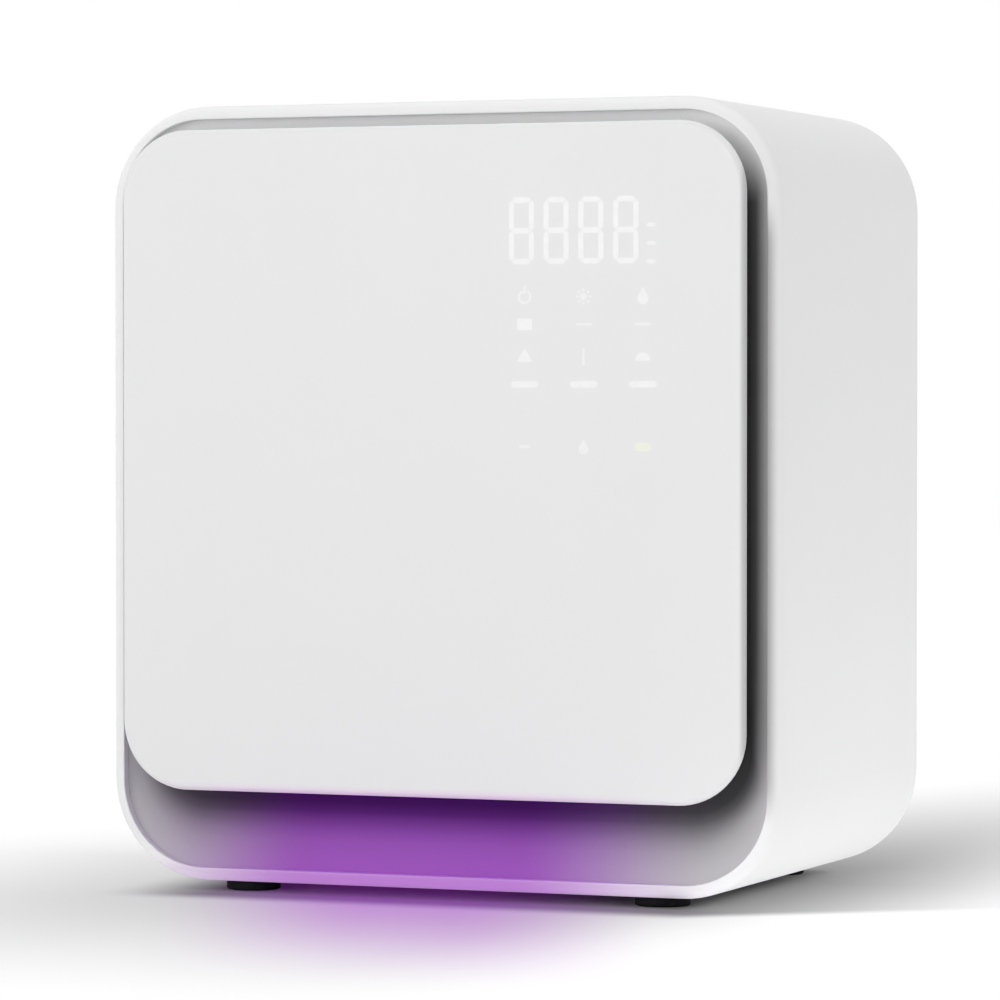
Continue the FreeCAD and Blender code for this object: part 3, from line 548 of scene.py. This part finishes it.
def circuit_board(name, mask, copper):
    """Solder mask over copper runs: a grid of cells whose middles read as pads."""
    material, tree, shader = new_finish(name, Coat_Weight=0.3, Coat_Roughness=0.15)
    reach = cells(tree, board_cell, distance="CHEBYCHEV")
    base = tones(tree, reach, [(0.10, copper), (0.16, mask), (0.6, tinted(mask, 1.3))])
    tree.links.new(base, shader.inputs["Base Color"])
    tree.links.new(spread(tree, reach, 0.3, 0.45), shader.inputs["Roughness"])
    relief(tree, shader, reach, board_relief)
    return material


def sintered_block(name, colour):
    """Dark sintered ferrite with fine pores."""
    material, tree, shader = new_finish(name, Metallic=0.4)
    pores = grain(tree, pore_size, detail=6.0)
    base = tones(tree, pores, [(0.35, tinted(colour, 0.6)), (0.65, tinted(colour, 1.3))])
    tree.links.new(base, shader.inputs["Base Color"])
    tree.links.new(spread(tree, pores, 0.45, 0.7), shader.inputs["Roughness"])
    relief(tree, shader, pores, pore_relief)
    return material


def clear_sheet(name, colour):
    """Quartz sheet with faint wipe marks in its gloss."""
    material, tree, shader = new_finish(name, Transmission_Weight=1.0, IOR=1.46)
    wipes = grain(tree, wipe_size, (wipe_stretch, 1, 1), detail=4.0)
    base = tones(tree, wipes, [(0.3, tinted(colour, 0.97)), (0.7, colour)])
    tree.links.new(base, shader.inputs["Base Color"])
    tree.links.new(spread(tree, wipes, 0.02, 0.10), shader.inputs["Roughness"])
    return material


def glowing_bar(name, colour, strength):
    """Violet light bar: brightest over the lamps inside it, with a frosted skin."""
    material, tree, shader = new_finish(name, Emission_Strength=strength, Roughness=0.35)
    waves = grain(tree, wave_size, (1, wave_stretch, wave_stretch))
    glow = tones(tree, waves, [(0.3, tinted(colour, 0.85)), (0.7, colour)])
    tree.links.new(glow, shader.inputs["Base Color"])
    tree.links.new(glow, shader.inputs["Emission Color"])
    relief(tree, shader, grain(tree, frost_size), frost_relief)
    return material


def lit_mark(name, colour, strength):
    """Printed mark with light behind it, a little uneven as such prints are."""
    material, tree, shader = new_finish(name, Emission_Strength=strength, Roughness=0.35)
    patches = grain(tree, patch_size)
    base = tones(tree, patches, [(0.3, tinted(colour, 0.97)), (0.7, colour)])
    tree.links.new(base, shader.inputs["Base Color"])
    tree.links.new(base, shader.inputs["Emission Color"])
    return material


def felt(name, colour):
    """Needled filter felt: crossing fibres that stand up from the sheet."""
    material, tree, shader = new_finish(name, Sheen_Weight=0.3, Sheen_Roughness=0.6)
    fibres = grain(tree, fibre_size, (1, 1, fibre_stretch), detail=4.0)
    base = tones(tree, fibres, [(0.3, tinted(colour, 0.75)), (0.7, colour)])
    tree.links.new(base, shader.inputs["Base Color"])
    tree.links.new(spread(tree, fibres, 0.8, 1.0), shader.inputs["Roughness"])
    relief(tree, shader, fibres, fibre_relief)
    return material


def lamp_ceramic(name, colour):
    """Ceramic lamp package under a clear dome."""
    material, tree, shader = new_finish(name, Coat_Weight=0.6, Coat_Roughness=0.05)
    dots = grain(tree, dot_size)
    base = tones(tree, dots, [(0.35, tinted(colour, 0.85)), (0.65, colour)])
    tree.links.new(base, shader.inputs["Base Color"])
    tree.links.new(spread(tree, dots, 0.3, 0.5), shader.inputs["Roughness"])
    return material


finishes = {
    "shell_white": moulded_plastic(
        "moulded_white_shell",
        (0.88, 0.88, 0.885),
        0.46,
        # painted violet glow on the lower lip, and painted shade beside the door's free edge
        painted_light=((lip_glow, lip_painted_violet_glow), (door_shade, lip_shade)),
        Specular_IOR_Level=0.4,
    ),
    "bezel_white": recess_plastic("satin_recess", 0.45),
    "door_white": moulded_plastic(
        "satin_acrylic_door",
        (0.82, 0.82, 0.825),
        0.48,
        speck=door_speck,
        depth=door_relief,
        # painted shade on the free edge, and painted violet glow on the lower edge
        painted_light=((free_edge, door_edge_shade), (door_glow, door_painted_violet_glow)),
        Specular_IOR_Level=0.35,
    ),
    "tray_white": moulded_plastic("textured_door_back", (0.74, 0.74, 0.75), 0.5),
    "chamber_steel": brushed_sheet("brushed_chamber_sheet", (0.63, 0.64, 0.65), "x"),
    "rack_steel": drawn_wire("polished_rack_wire", (0.74, 0.74, 0.75)),
    "hinge_steel": plated_steel("zinc_plated_steel", (0.60, 0.61, 0.63), 0.33),
    "foot_rubber": dusty_rubber("black_foot_rubber", (0.007, 0.007, 0.008), 0.75, 2.0, 0.08),
    "seal_silicone": dusty_rubber("grey_seal_silicone", (0.42, 0.42, 0.44), 0.55, 1.15, 0.35),
    "part_black": moulded_plastic("black_moulding", (0.025, 0.025, 0.028), 0.5, clouding=0.15),
    "board_green": circuit_board("green_circuit_board", (0.012, 0.09, 0.035), (0.10, 0.20, 0.07)),
    "bare_aluminium": brushed_sheet("extruded_aluminium", (0.70, 0.71, 0.73), "y", roughness=0.42),
    "dark_core": sintered_block("dark_sintered_block", (0.06, 0.06, 0.065)),
    "lamp_white": moulded_plastic("white_reflector", (0.84, 0.84, 0.85), 0.45),
    "lamp_chip": lamp_ceramic("lamp_ceramic", (0.80, 0.74, 0.45)),
    "lamp_glass": clear_sheet("quartz_window", (0.93, 0.95, 1.0)),
    "light_bar": glowing_bar("violet_light_bar", violet, violet_strength),
    "pin_brass": plated_steel("nickelled_brass", (0.68, 0.56, 0.34), 0.28),
    "filter_felt": felt("filter_felt_fibres", (0.70, 0.72, 0.72)),
}
white_mark = lit_mark("white_lit_mark", (0.875, 0.875, 0.875), 0.02)
yellow_mark = lit_mark("pale_yellow_lit_mark", (0.84, 0.85, 0.745), 0.02)


def dress_solids():
    """Every solid takes the finish of its slot in the record."""
    for part in frame["record"]["subparts"]:
        solid = nodes[part["node"]]
        solid.data.materials.clear()
        solid.data.materials.append(finishes[part["material_slot"]])


# Mesh helpers

def new_piece(name, mesh, material, body):
    piece = bpy.data.objects.new(name, mesh)
    bpy.context.scene.collection.objects.link(piece)
    mesh.materials.clear()
    mesh.materials.append(material)
    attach(piece, body)
    return piece


def new_tree(name, inputs):
    """Geometry node tree with named inputs, as a pair of the tree and the sockets that give their values."""
    tree = bpy.data.node_groups.new(name, "GeometryNodeTree")
    tree.is_modifier = True
    tree.interface.new_socket("Geometry", in_out="INPUT", socket_type="NodeSocketGeometry")
    for label, kind in inputs.items():
        tree.interface.new_socket(label, in_out="INPUT", socket_type=f"NodeSocket{kind}")
    tree.interface.new_socket("Geometry", in_out="OUTPUT", socket_type="NodeSocketGeometry")
    return tree, add_node(tree, "NodeGroupInput").outputs


def close_tree(tree, shape, material):
    """Ends a tree with plain mesh in one material."""
    real = add_node(tree, "GeometryNodeRealizeInstances", {"Geometry": shape})
    dressed = add_node(
        tree, "GeometryNodeSetMaterial", {"Geometry": real.outputs["Geometry"], "Material": material}
    )
    add_node(tree, "NodeGroupOutput", {"Geometry": dressed.outputs["Geometry"]})


def grown_mesh(tree, seed, values, thickness=0.0):
    """Plain mesh that a tree grows from a seed mesh, given a wall where it is an open sheet."""
    maker = bpy.data.objects.new(seed.name, seed)
    bpy.context.scene.collection.objects.link(maker)
    grower = maker.modifiers.new("grower", "NODES")
    grower.node_group = tree
    for item in tree.interface.items_tree:
        if item.in_out == "INPUT" and item.name in values:
            grower[item.identifier] = values[item.name]
    if thickness:
        wall = maker.modifiers.new("wall", "SOLIDIFY")
        wall.thickness = thickness
        wall.offset = 0.0
    graph = bpy.context.evaluated_depsgraph_get()
    mesh = bpy.data.meshes.new_from_object(maker.evaluated_get(graph), depsgraph=graph)
    bpy.data.objects.remove(maker)
    return mesh


# Marks on the door, each an outline of points (x, z)

def around(x, z, radius, angle):
    """Point on a circle, with its angle in degrees from +X towards +Z."""
    turn = math.radians(angle)
    return x + radius * math.cos(turn), z + radius * math.sin(turn)


def arc(x, z, radius, start, end):
    """Points along an arc between two angles."""
    step = (end - start) / round_steps
    return [around(x, z, radius, start + index * step) for index in range(round_steps + 1)]


def disc(x, z, radius):
    return arc(x, z, radius, 0, 360)[:-1]


def bar(x, z, length, wall):
    """Bar with round ends."""
    straight = (length - wall) / 2
    return arc(x + straight, z, wall / 2, -90, 90) + arc(x - straight, z, wall / 2, 90, 270)


def block(x, z, width, height):
    return [
        (x - width / 2, z - height / 2),
        (x + width / 2, z - height / 2),
        (x + width / 2, z + height / 2),
        (x - width / 2, z + height / 2),
    ]


def open_ring(x, z, radius, wall, gap):
    """Ring with a gap at its top."""
    start = 90 + gap / 2
    end = 450 - gap / 2
    return arc(x, z, radius, start, end) + arc(x, z, radius - wall, end, start)


def drop(x, z, radius):
    """Most of a circle, drawn up to a point."""
    return arc(x, z, radius, 150, 390) + [(x, z + 2 * radius)]


def dome(x, z, radius):
    return arc(x, z, radius, 0, 180)


def triangle(x, z, radius):
    return [around(x, z, radius, angle) for angle in (90, 210, 330)]


def ray(x, z, near, far, angle):
    """Short bar that points away from the middle of a sun."""
    along = Vector((math.cos(angle), math.sin(angle)))
    across = Vector((-along.y, along.x)) * icon_stroke / 2
    middle = Vector((x, z))
    corners = (near * along - across, far * along - across, far * along + across, near * along + across)
    return [tuple(middle + corner) for corner in corners]


def segment(x, z, length, upright):
    """Pointed bar of a digit."""
    half = length / 2
    tip = digit_stroke / 2
    shoulder = half - tip
    points = [(-half, 0), (-shoulder, -tip), (shoulder, -tip), (half, 0), (shoulder, tip), (-shoulder, tip)]
    if upright:
        points = [(across, along) for along, across in points]
    return [(x + along, z + across) for along, across in points]


def digit(x, z):
    """Outlines of the seven segments of a digit round its middle."""
    half_width = (digit_width - digit_stroke) / 2
    half_height = (digit_height - digit_stroke) / 2
    outlines = []
    for level in (-1, 0, 1):
        outlines.append(segment(x, z + level * half_height, 2 * half_width - segment_gap, False))
    for side in (-1, 1):
        for half in (-1, 1):
            outlines.append(
                segment(x + side * half_width, z + half * half_height / 2, half_height - segment_gap, True)
            )
    return outlines


def display_outlines():
    """Four digits over the display module, with three small marks after them."""
    low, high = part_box("display_module")
    middle = (low.z + high.z) / 2
    outlines = []
    for index in range(digit_count):
        outlines += digit(low.x + digit_margin + digit_width / 2 + index * digit_pitch, middle)
    for level in (-1, 0, 1):
        x = high.x - side_mark_length / 2
        z = middle - side_mark_drop + level * side_mark_spread
        outlines.append(bar(x, z, side_mark_length, side_mark_wall))
    return outlines


def key_columns():
    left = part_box("touch_board")[0].x + key_edge
    return [left, left + key_pitch, left + 2 * key_pitch]


def key_outlines():
    """Icons, labels and lit bars of the touch keys, in rows below the display."""
    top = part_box("display_module")[0].z
    first, second, third = key_columns()
    icon_z = top - icon_drop
    outlines = [
        open_ring(first, icon_z, icon_radius, icon_stroke, power_gap),
        block(first, icon_z + icon_radius, icon_stroke, icon_radius),
        disc(second, icon_z, icon_radius / 2),
        drop(third, icon_z - icon_radius / 3, icon_radius * drop_share),
    ]
    for index in range(ray_count):
        angle = 2 * math.pi * index / ray_count
        outlines.append(
            ray(second, icon_z, icon_radius * ray_near_share, icon_radius * ray_far_share, angle)
        )
    label_z = top - label_drop
    outlines.append(block(first, label_z, icon_radius * label_width_share, icon_radius * label_height_share))
    for x in (second, third):
        outlines.append(bar(x, label_z, icon_radius * dash_share, icon_stroke))
    symbol_z = top - symbol_drop
    outlines.append(triangle(first, symbol_z, icon_radius * triangle_share))
    outlines.append(block(second, symbol_z, icon_stroke, icon_radius * dash_share))
    outlines.append(dome(third, symbol_z - icon_radius / 2, icon_radius * dome_share))
    for x in (first, second, third):
        outlines.append(bar(x, top - bar_drop, bar_length, bar_wall))
    outlines.append(bar(first, top - foot_drop, icon_radius * foot_dash_share, bar_wall / 2))
    outlines.append(drop(second, top - foot_drop - icon_radius / 3, icon_radius * foot_drop_share))
    return outlines


def lamp_outlines():
    """The small yellow lamp under the third column."""
    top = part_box("display_module")[0].z
    third = key_columns()[2]
    return [bar(third, top - foot_drop, icon_radius * dash_share, icon_radius * lamp_wall_share)]


def mark_mesh(name, outlines):
    """Thin closed plates on the door's face, one for each outline."""
    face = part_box("door_panel")[0].y
    shape = bmesh.new()
    for points in outlines:
        front = [shape.verts.new((x, face - mark_stand, z)) for x, z in points]
        back = [shape.verts.new((x, face + mark_sink, z)) for x, z in points]
        shape.faces.new(front)
        shape.faces.new(back[::-1])
        for index in range(len(points)):
            after = (index + 1) % len(points)
            shape.faces.new((front[index], back[index], back[after], front[after]))
    bmesh.ops.recalc_face_normals(shape, faces=shape.faces)
    mesh = bpy.data.meshes.new(name)
    shape.to_mesh(mesh)
    shape.free()
    return mesh


def build_marks():
    for name, outlines, material in (
        ("display_digits", display_outlines(), white_mark),
        ("touch_key_marks", key_outlines(), white_mark),
        ("lamp_mark", lamp_outlines(), yellow_mark),
    ):
        new_piece(name, mark_mesh(name, outlines), material, "door")


# Cross recess screws, grown on points at their seats

def screw_tree(material):
    tree, given = new_tree(
        "cross_recess_screws",
        {
            "Head Radius": "Float",
            "Head Height": "Float",
            "Crown": "Float",
            "Recess Length": "Float",
            "Recess Width": "Float",
            "Recess Depth": "Float",
            "Shank Radius": "Float",
            "Shank Length": "Float",
            "Lean": "Float",
            "Seed": "Int",
        },
    )

    def raised(mesh, height):
        shift = add_node(tree, "ShaderNodeCombineXYZ", {"Z": height}).outputs[0]
        moved = add_node(tree, "GeometryNodeTransform", {"Geometry": mesh, "Translation": shift})
        return moved.outputs["Geometry"]

    def recess_bar(length, width):
        depth = arithmetic(tree, "MULTIPLY", given["Recess Depth"], 2.0)
        size = add_node(tree, "ShaderNodeCombineXYZ", {"X": length, "Y": width, "Z": depth}).outputs[0]
        cutter = add_node(tree, "GeometryNodeMeshCube", {"Size": size})
        return raised(cutter.outputs["Mesh"], given["Head Height"])

    blank = add_node(
        tree,
        "GeometryNodeMeshCylinder",
        {
            "Vertices": head_sides,
            "Side Segments": head_rings,
            "Fill Segments": head_rounds,
            "Radius": given["Head Radius"],
            "Depth": given["Head Height"],
        },
    )
    head = raised(blank.outputs["Mesh"], arithmetic(tree, "MULTIPLY", given["Head Height"], 0.5))
    place = add_node(tree, "GeometryNodeInputPosition").outputs[0]
    axes = add_node(tree, "ShaderNodeSeparateXYZ", {"Vector": place}).outputs
    out = arithmetic(tree, "POWER", axes["X"], 2.0)
    out = arithmetic(tree, "ADD", out, arithmetic(tree, "POWER", axes["Y"], 2.0))
    out = arithmetic(tree, "DIVIDE", out, arithmetic(tree, "POWER", given["Head Radius"], 2.0))
    up = arithmetic(tree, "DIVIDE", axes["Z"], given["Head Height"])
    sink = arithmetic(tree, "MULTIPLY", product(tree, out, up, given["Crown"]), -1.0)
    shift = add_node(tree, "ShaderNodeCombineXYZ", {"Z": sink}).outputs[0]
    crowned = add_node(tree, "GeometryNodeSetPosition", {"Geometry": head, "Offset": shift})
    cut = add_node(
        tree, "GeometryNodeMeshBoolean", {"Mesh 1": crowned.outputs["Geometry"]}, operation="DIFFERENCE"
    )
    for length, width in (("Recess Length", "Recess Width"), ("Recess Width", "Recess Length")):
        tree.links.new(recess_bar(given[length], given[width]), cut.inputs["Mesh 2"])
    stem = add_node(
        tree,
        "GeometryNodeMeshCylinder",
        {"Vertices": shank_sides, "Radius": given["Shank Radius"], "Depth": given["Shank Length"]},
    )
    shank = raised(stem.outputs["Mesh"], arithmetic(tree, "MULTIPLY", given["Shank Length"], -0.5))
    whole = add_node(tree, "GeometryNodeJoinGeometry", {"Geometry": cut.outputs["Mesh"]})
    tree.links.new(shank, whole.inputs["Geometry"])
    turn = add_node(tree, "FunctionNodeRandomValue", {"Seed": given["Seed"]}, data_type="FLOAT")
    turned = arithmetic(tree, "MULTIPLY", turn.outputs["Value"], math.pi)
    lean = add_node(tree, "ShaderNodeCombineXYZ", {"X": given["Lean"], "Y": turned}).outputs[0]
    set_out = add_node(
        tree,
        "GeometryNodeInstanceOnPoints",
        {
            "Points": given["Geometry"],
            "Instance": whole.outputs["Geometry"],
            "Rotation": add_node(tree, "FunctionNodeEulerToRotation", {"Euler": lean}).outputs[0],
        },
    )
    close_tree(tree, set_out.outputs["Instances"], material)
    return tree


def rear_screw_seats():
    """Seats on the rear panel, in from the corners of the screws' own box."""
    low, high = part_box("rear_screws")
    seat = high.y - screw_head_height
    inset = screw_head_radius
    return [(x, seat, z) for x in (low.x + inset, high.x - inset) for z in (low.z + inset, high.z - inset)]


def bracket_screw_seats():
    """Seats on the feet of the two hinge brackets."""
    low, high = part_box("bracket_screws")
    middle = (low.x + high.x) / 2
    seats = []
    for bracket in ("hinge_bracket_upper", "hinge_bracket_lower"):
        bottom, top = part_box(bracket)
        for z in (bottom.z + bracket_screw_inset, top.z - bracket_screw_inset):
            seats.append((middle, low.y + screw_head_height, z))
    return seats


def build_screws():
    material = finishes["hinge_steel"]
    tree = screw_tree(material)
    for name, node, seats, lean in (
        ("rear_panel_screws", "rear_screws", rear_screw_seats(), -math.pi / 2),
        ("hinge_bracket_screws", "bracket_screws", bracket_screw_seats(), math.pi / 2),
    ):
        seed = bpy.data.meshes.new(f"{name}_seats")
        seed.from_pydata(seats, [], [])
        values = {
            "Head Radius": screw_head_radius,
            "Head Height": screw_head_height,
            "Crown": screw_crown,
            "Recess Length": screw_recess_length,
            "Recess Width": screw_recess_width,
            "Recess Depth": screw_recess_depth,
            "Shank Radius": screw_shank_radius,
            "Shank Length": screw_length,
            "Lean": lean,
            "Seed": screw_seed,
        }
        mesh = grown_mesh(tree, seed, values)
        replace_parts(new_piece(name, mesh, material, "cabinet"), node)


# Pleated filter, grown as a folded sheet

def felt_tree(material):
    tree, given = new_tree(
        "pleated_felt",
        {"Width": "Float", "Height": "Float", "Depth": "Float", "Pleats": "Int", "Ripple": "Float"},
    )
    columns = arithmetic(tree, "MULTIPLY_ADD", given["Pleats"], float(pleat_points))
    columns.node.inputs[2].default_value = 1.0
    sheet = add_node(
        tree,
        "GeometryNodeMeshGrid",
        {
            "Size X": given["Width"],
            "Size Y": given["Height"],
            "Vertices X": columns,
            "Vertices Y": pleat_rows + 1,
        },
    )
    place = add_node(tree, "GeometryNodeInputPosition").outputs[0]
    axes = add_node(tree, "ShaderNodeSeparateXYZ", {"Vector": place}).outputs
    along = arithmetic(tree, "DIVIDE", axes["X"], given["Width"])
    wave = arithmetic(tree, "COSINE", product(tree, along, given["Pleats"], 2 * math.pi))
    fold = product(tree, wave, given["Depth"], 0.5)
    noise = add_node(tree, "ShaderNodeTexNoise", {"Vector": place, "Scale": 1 / ripple_size, "Detail": 1.0})
    sway = arithmetic(tree, "SUBTRACT", noise.outputs["Fac"], 0.5)
    shifted = arithmetic(tree, "ADD", axes["X"], product(tree, sway, given["Ripple"]))
    folded = add_node(tree, "ShaderNodeCombineXYZ", {"X": shifted, "Y": fold, "Z": axes["Y"]}).outputs[0]
    pleated = add_node(
        tree, "GeometryNodeSetPosition", {"Geometry": sheet.outputs["Mesh"], "Position": folded}
    )
    close_tree(tree, pleated.outputs["Geometry"], material)
    return tree


def build_filter():
    low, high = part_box("filter_pad")
    room = high - low
    width = room.x - 2 * felt_thickness
    height = room.z - 2 * felt_slack
    depth = room.y - felt_thickness - 2 * felt_slack
    material = finishes["filter_felt"]
    values = {"Width": width, "Height": height, "Depth": depth, "Pleats": pleat_count, "Ripple": pleat_ripple}
    mesh = grown_mesh(felt_tree(material), bpy.data.meshes.new("felt_sheet"), values, felt_thickness)
    mesh.transform(Matrix.Translation((low + high) / 2))
    sheet = new_piece("pleated_filter_felt", mesh, material, "filter")
    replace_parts(sheet, "filter_pad")


# Studio

def build_camera():
    data = bpy.data.cameras.new("photo_camera")
    data.sensor_fit = "HORIZONTAL"
    data.sensor_width = camera_sensor
    data.lens = camera_lens
    data.clip_end = camera_reach
    camera = bpy.data.objects.new("photo_camera", data)
    ahead = Vector(
        (
            -math.sin(camera_yaw) * math.cos(camera_fall),
            math.cos(camera_yaw) * math.cos(camera_fall),
            -math.sin(camera_fall),
        )
    )
    camera.location = camera_place
    camera.rotation_euler = ahead.to_track_quat("-Z", "Y").to_euler()
    bpy.context.scene.collection.objects.link(camera)
    bpy.context.scene.camera = camera


def seen_directly(tree):
    """1 for rays from the camera, and for mirror and glass rays, so that these see the plain backdrop."""
    path = add_node(tree, "ShaderNodeLightPath").outputs
    mirrored = arithmetic(tree, "MAXIMUM", path["Is Glossy Ray"], path["Is Transmission Ray"])
    return arithmetic(tree, "MAXIMUM", path["Is Camera Ray"], mirrored)


def build_world():
    world = bpy.data.worlds.new("white_studio")
    bpy.context.scene.world = world
    world.use_nodes = True
    tree = world.node_tree
    soft = tree.nodes["Background"]
    soft.inputs["Color"].default_value = (1, 1, 1, 1)
    soft.inputs["Strength"].default_value = ambient_level
    plain = add_node(tree, "ShaderNodeBackground", {"Color": (1, 1, 1, 1), "Strength": 1.0})
    mix = add_node(
        tree,
        "ShaderNodeMixShader",
        {0: seen_directly(tree), 1: soft.outputs[0], 2: plain.outputs[0]},
    )
    tree.links.new(mix.outputs[0], tree.nodes["World Output"].inputs["Surface"])


def build_sun(name, level, toward, softness):
    data = bpy.data.lights.new(name, "SUN")
    data.energy = level
    data.angle = softness
    lamp = bpy.data.objects.new(name, data)
    lamp.rotation_euler = toward.to_track_quat("Z", "Y").to_euler()
    bpy.context.scene.collection.objects.link(lamp)


def out_of_shadow(tree):
    """0 under the object, easing to 1 past the shadow painted on the table: its near part and the faint far
    one that falls to the left.
    """
    low, high = cad_box
    axes = object_axes(tree)
    aside = arithmetic(tree, "MAXIMUM", arithmetic(tree, "SUBTRACT", axes["X"], shadow_lean_start))
    ahead = arithmetic(tree, "SUBTRACT", axes["Y"], product(tree, aside, shadow_lean))
    near = faded(tree, ahead, low.y + near_front_start, low.y - near_front_end)
    near_side = faded(tree, axes["X"], low.x + near_left_inset, low.x - near_left)
    far = faded(tree, ahead, low.y, low.y - far_front)
    far_side = faded(tree, axes["X"], low.x + far_left_inset, low.x - far_left)
    turned = spread(tree, near, faded(tree, axes["X"], far_right_start, far_right_end), 1.0, 0.0, 1.0)
    both = arithmetic(
        tree,
        "ADD",
        product(tree, near, near_side, near_share),
        product(tree, far, far_side, turned, 1 - near_share),
    )
    back = spread(
        tree, axes["X"], high.y + shadow_back_left, high.y + shadow_back_right, low.x, high.x, "SMOOTHSTEP"
    )
    behind = spread(tree, axes["Y"], 1.0, 0.0, high.y - shadow_inset, back)
    right = faded(tree, axes["X"], high.x - shadow_inset, high.x + shadow_right)
    return arithmetic(tree, "SUBTRACT", 1.0, product(tree, both, right, behind, behind))


def build_bounce(name, power, width, depth, place):
    """Low lamp that throws light up, as a bright table does."""
    data = bpy.data.lights.new(name, "AREA")
    data.shape = "RECTANGLE"
    data.size = width
    data.size_y = depth
    data.energy = power
    lamp = bpy.data.objects.new(name, data)
    lamp.location = place
    lamp.rotation_euler = (math.pi, 0, 0)
    lamp.visible_camera = False
    lamp.visible_glossy = False
    bpy.context.scene.collection.objects.link(lamp)


def build_bounces():
    """Light from the table up the casing's right side, and up under its lip."""
    low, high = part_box("outer_casing")
    beside = Vector((high.x + side_bounce_gap + side_bounce_width / 2, side_bounce_back, bounce_height))
    build_bounce("side_bounce", side_bounce_power, side_bounce_width, side_bounce_depth, beside)
    under = Vector((lip_bounce_middle, low.y - lip_bounce_ahead, bounce_height))
    build_bounce("lip_bounce", lip_bounce_power, lip_bounce_width, lip_bounce_depth, under)


def build_floor():
    """Pale table that shows white away from the object, with a painted shadow over its real one and a painted
    violet glow near it.
    """
    mesh = bpy.data.meshes.new("studio_floor")
    corners = [(-floor_reach, -floor_reach, 0), (floor_reach, -floor_reach, 0)]
    corners += [(floor_reach, floor_reach, 0), (-floor_reach, floor_reach, 0)]
    mesh.from_pydata(corners, [], [(0, 1, 2, 3)])
    material, tree, shader = new_finish("pale_floor", Roughness=0.9, Specular_IOR_Level=0.1)
    seen = seen_directly(tree)
    glow = floor_glow(tree)
    painted_tint = colour_multiplied(tree, (1, 1, 1, 1), floor_painted_violet_glow, glow)
    shaded = colour_multiplied(tree, painted_tint, (floor_seen_tone,) * 3, 1.0)
    bounce = (floor_tone, floor_tone, floor_tone, 1)
    tree.links.new(blended(tree, bounce, shaded, seen), shader.inputs["Base Color"])
    lit = out_of_shadow(tree)
    lift = product(tree, lit, floor_lift)
    bright = blended(tree, (0, 0, 0, 1), painted_tint, lift)
    hidden = product(tree, glow, arithmetic(tree, "SUBTRACT", 1.0, lit))
    tree.links.new(blended(tree, bright, (*gap_painted_violet_glow, 1.0), hidden, "ADD"), shader.inputs["Emission Color"])
    tree.links.new(seen, shader.inputs["Emission Strength"])
    mesh.materials.append(material)
    floor = bpy.data.objects.new("studio_floor", mesh)
    bpy.context.scene.collection.objects.link(floor)


build_camera()
build_world()
build_sun("key_light", key_level, key_toward, key_softness)
build_sun("fill_light", fill_level, fill_toward, fill_softness)
build_sun("top_light", top_level, top_toward, top_softness)
build_bounces()
build_floor()
dress_solids()
build_marks()
build_screws()
build_filter()

bpy.context.scene.view_settings.view_transform = "Standard"
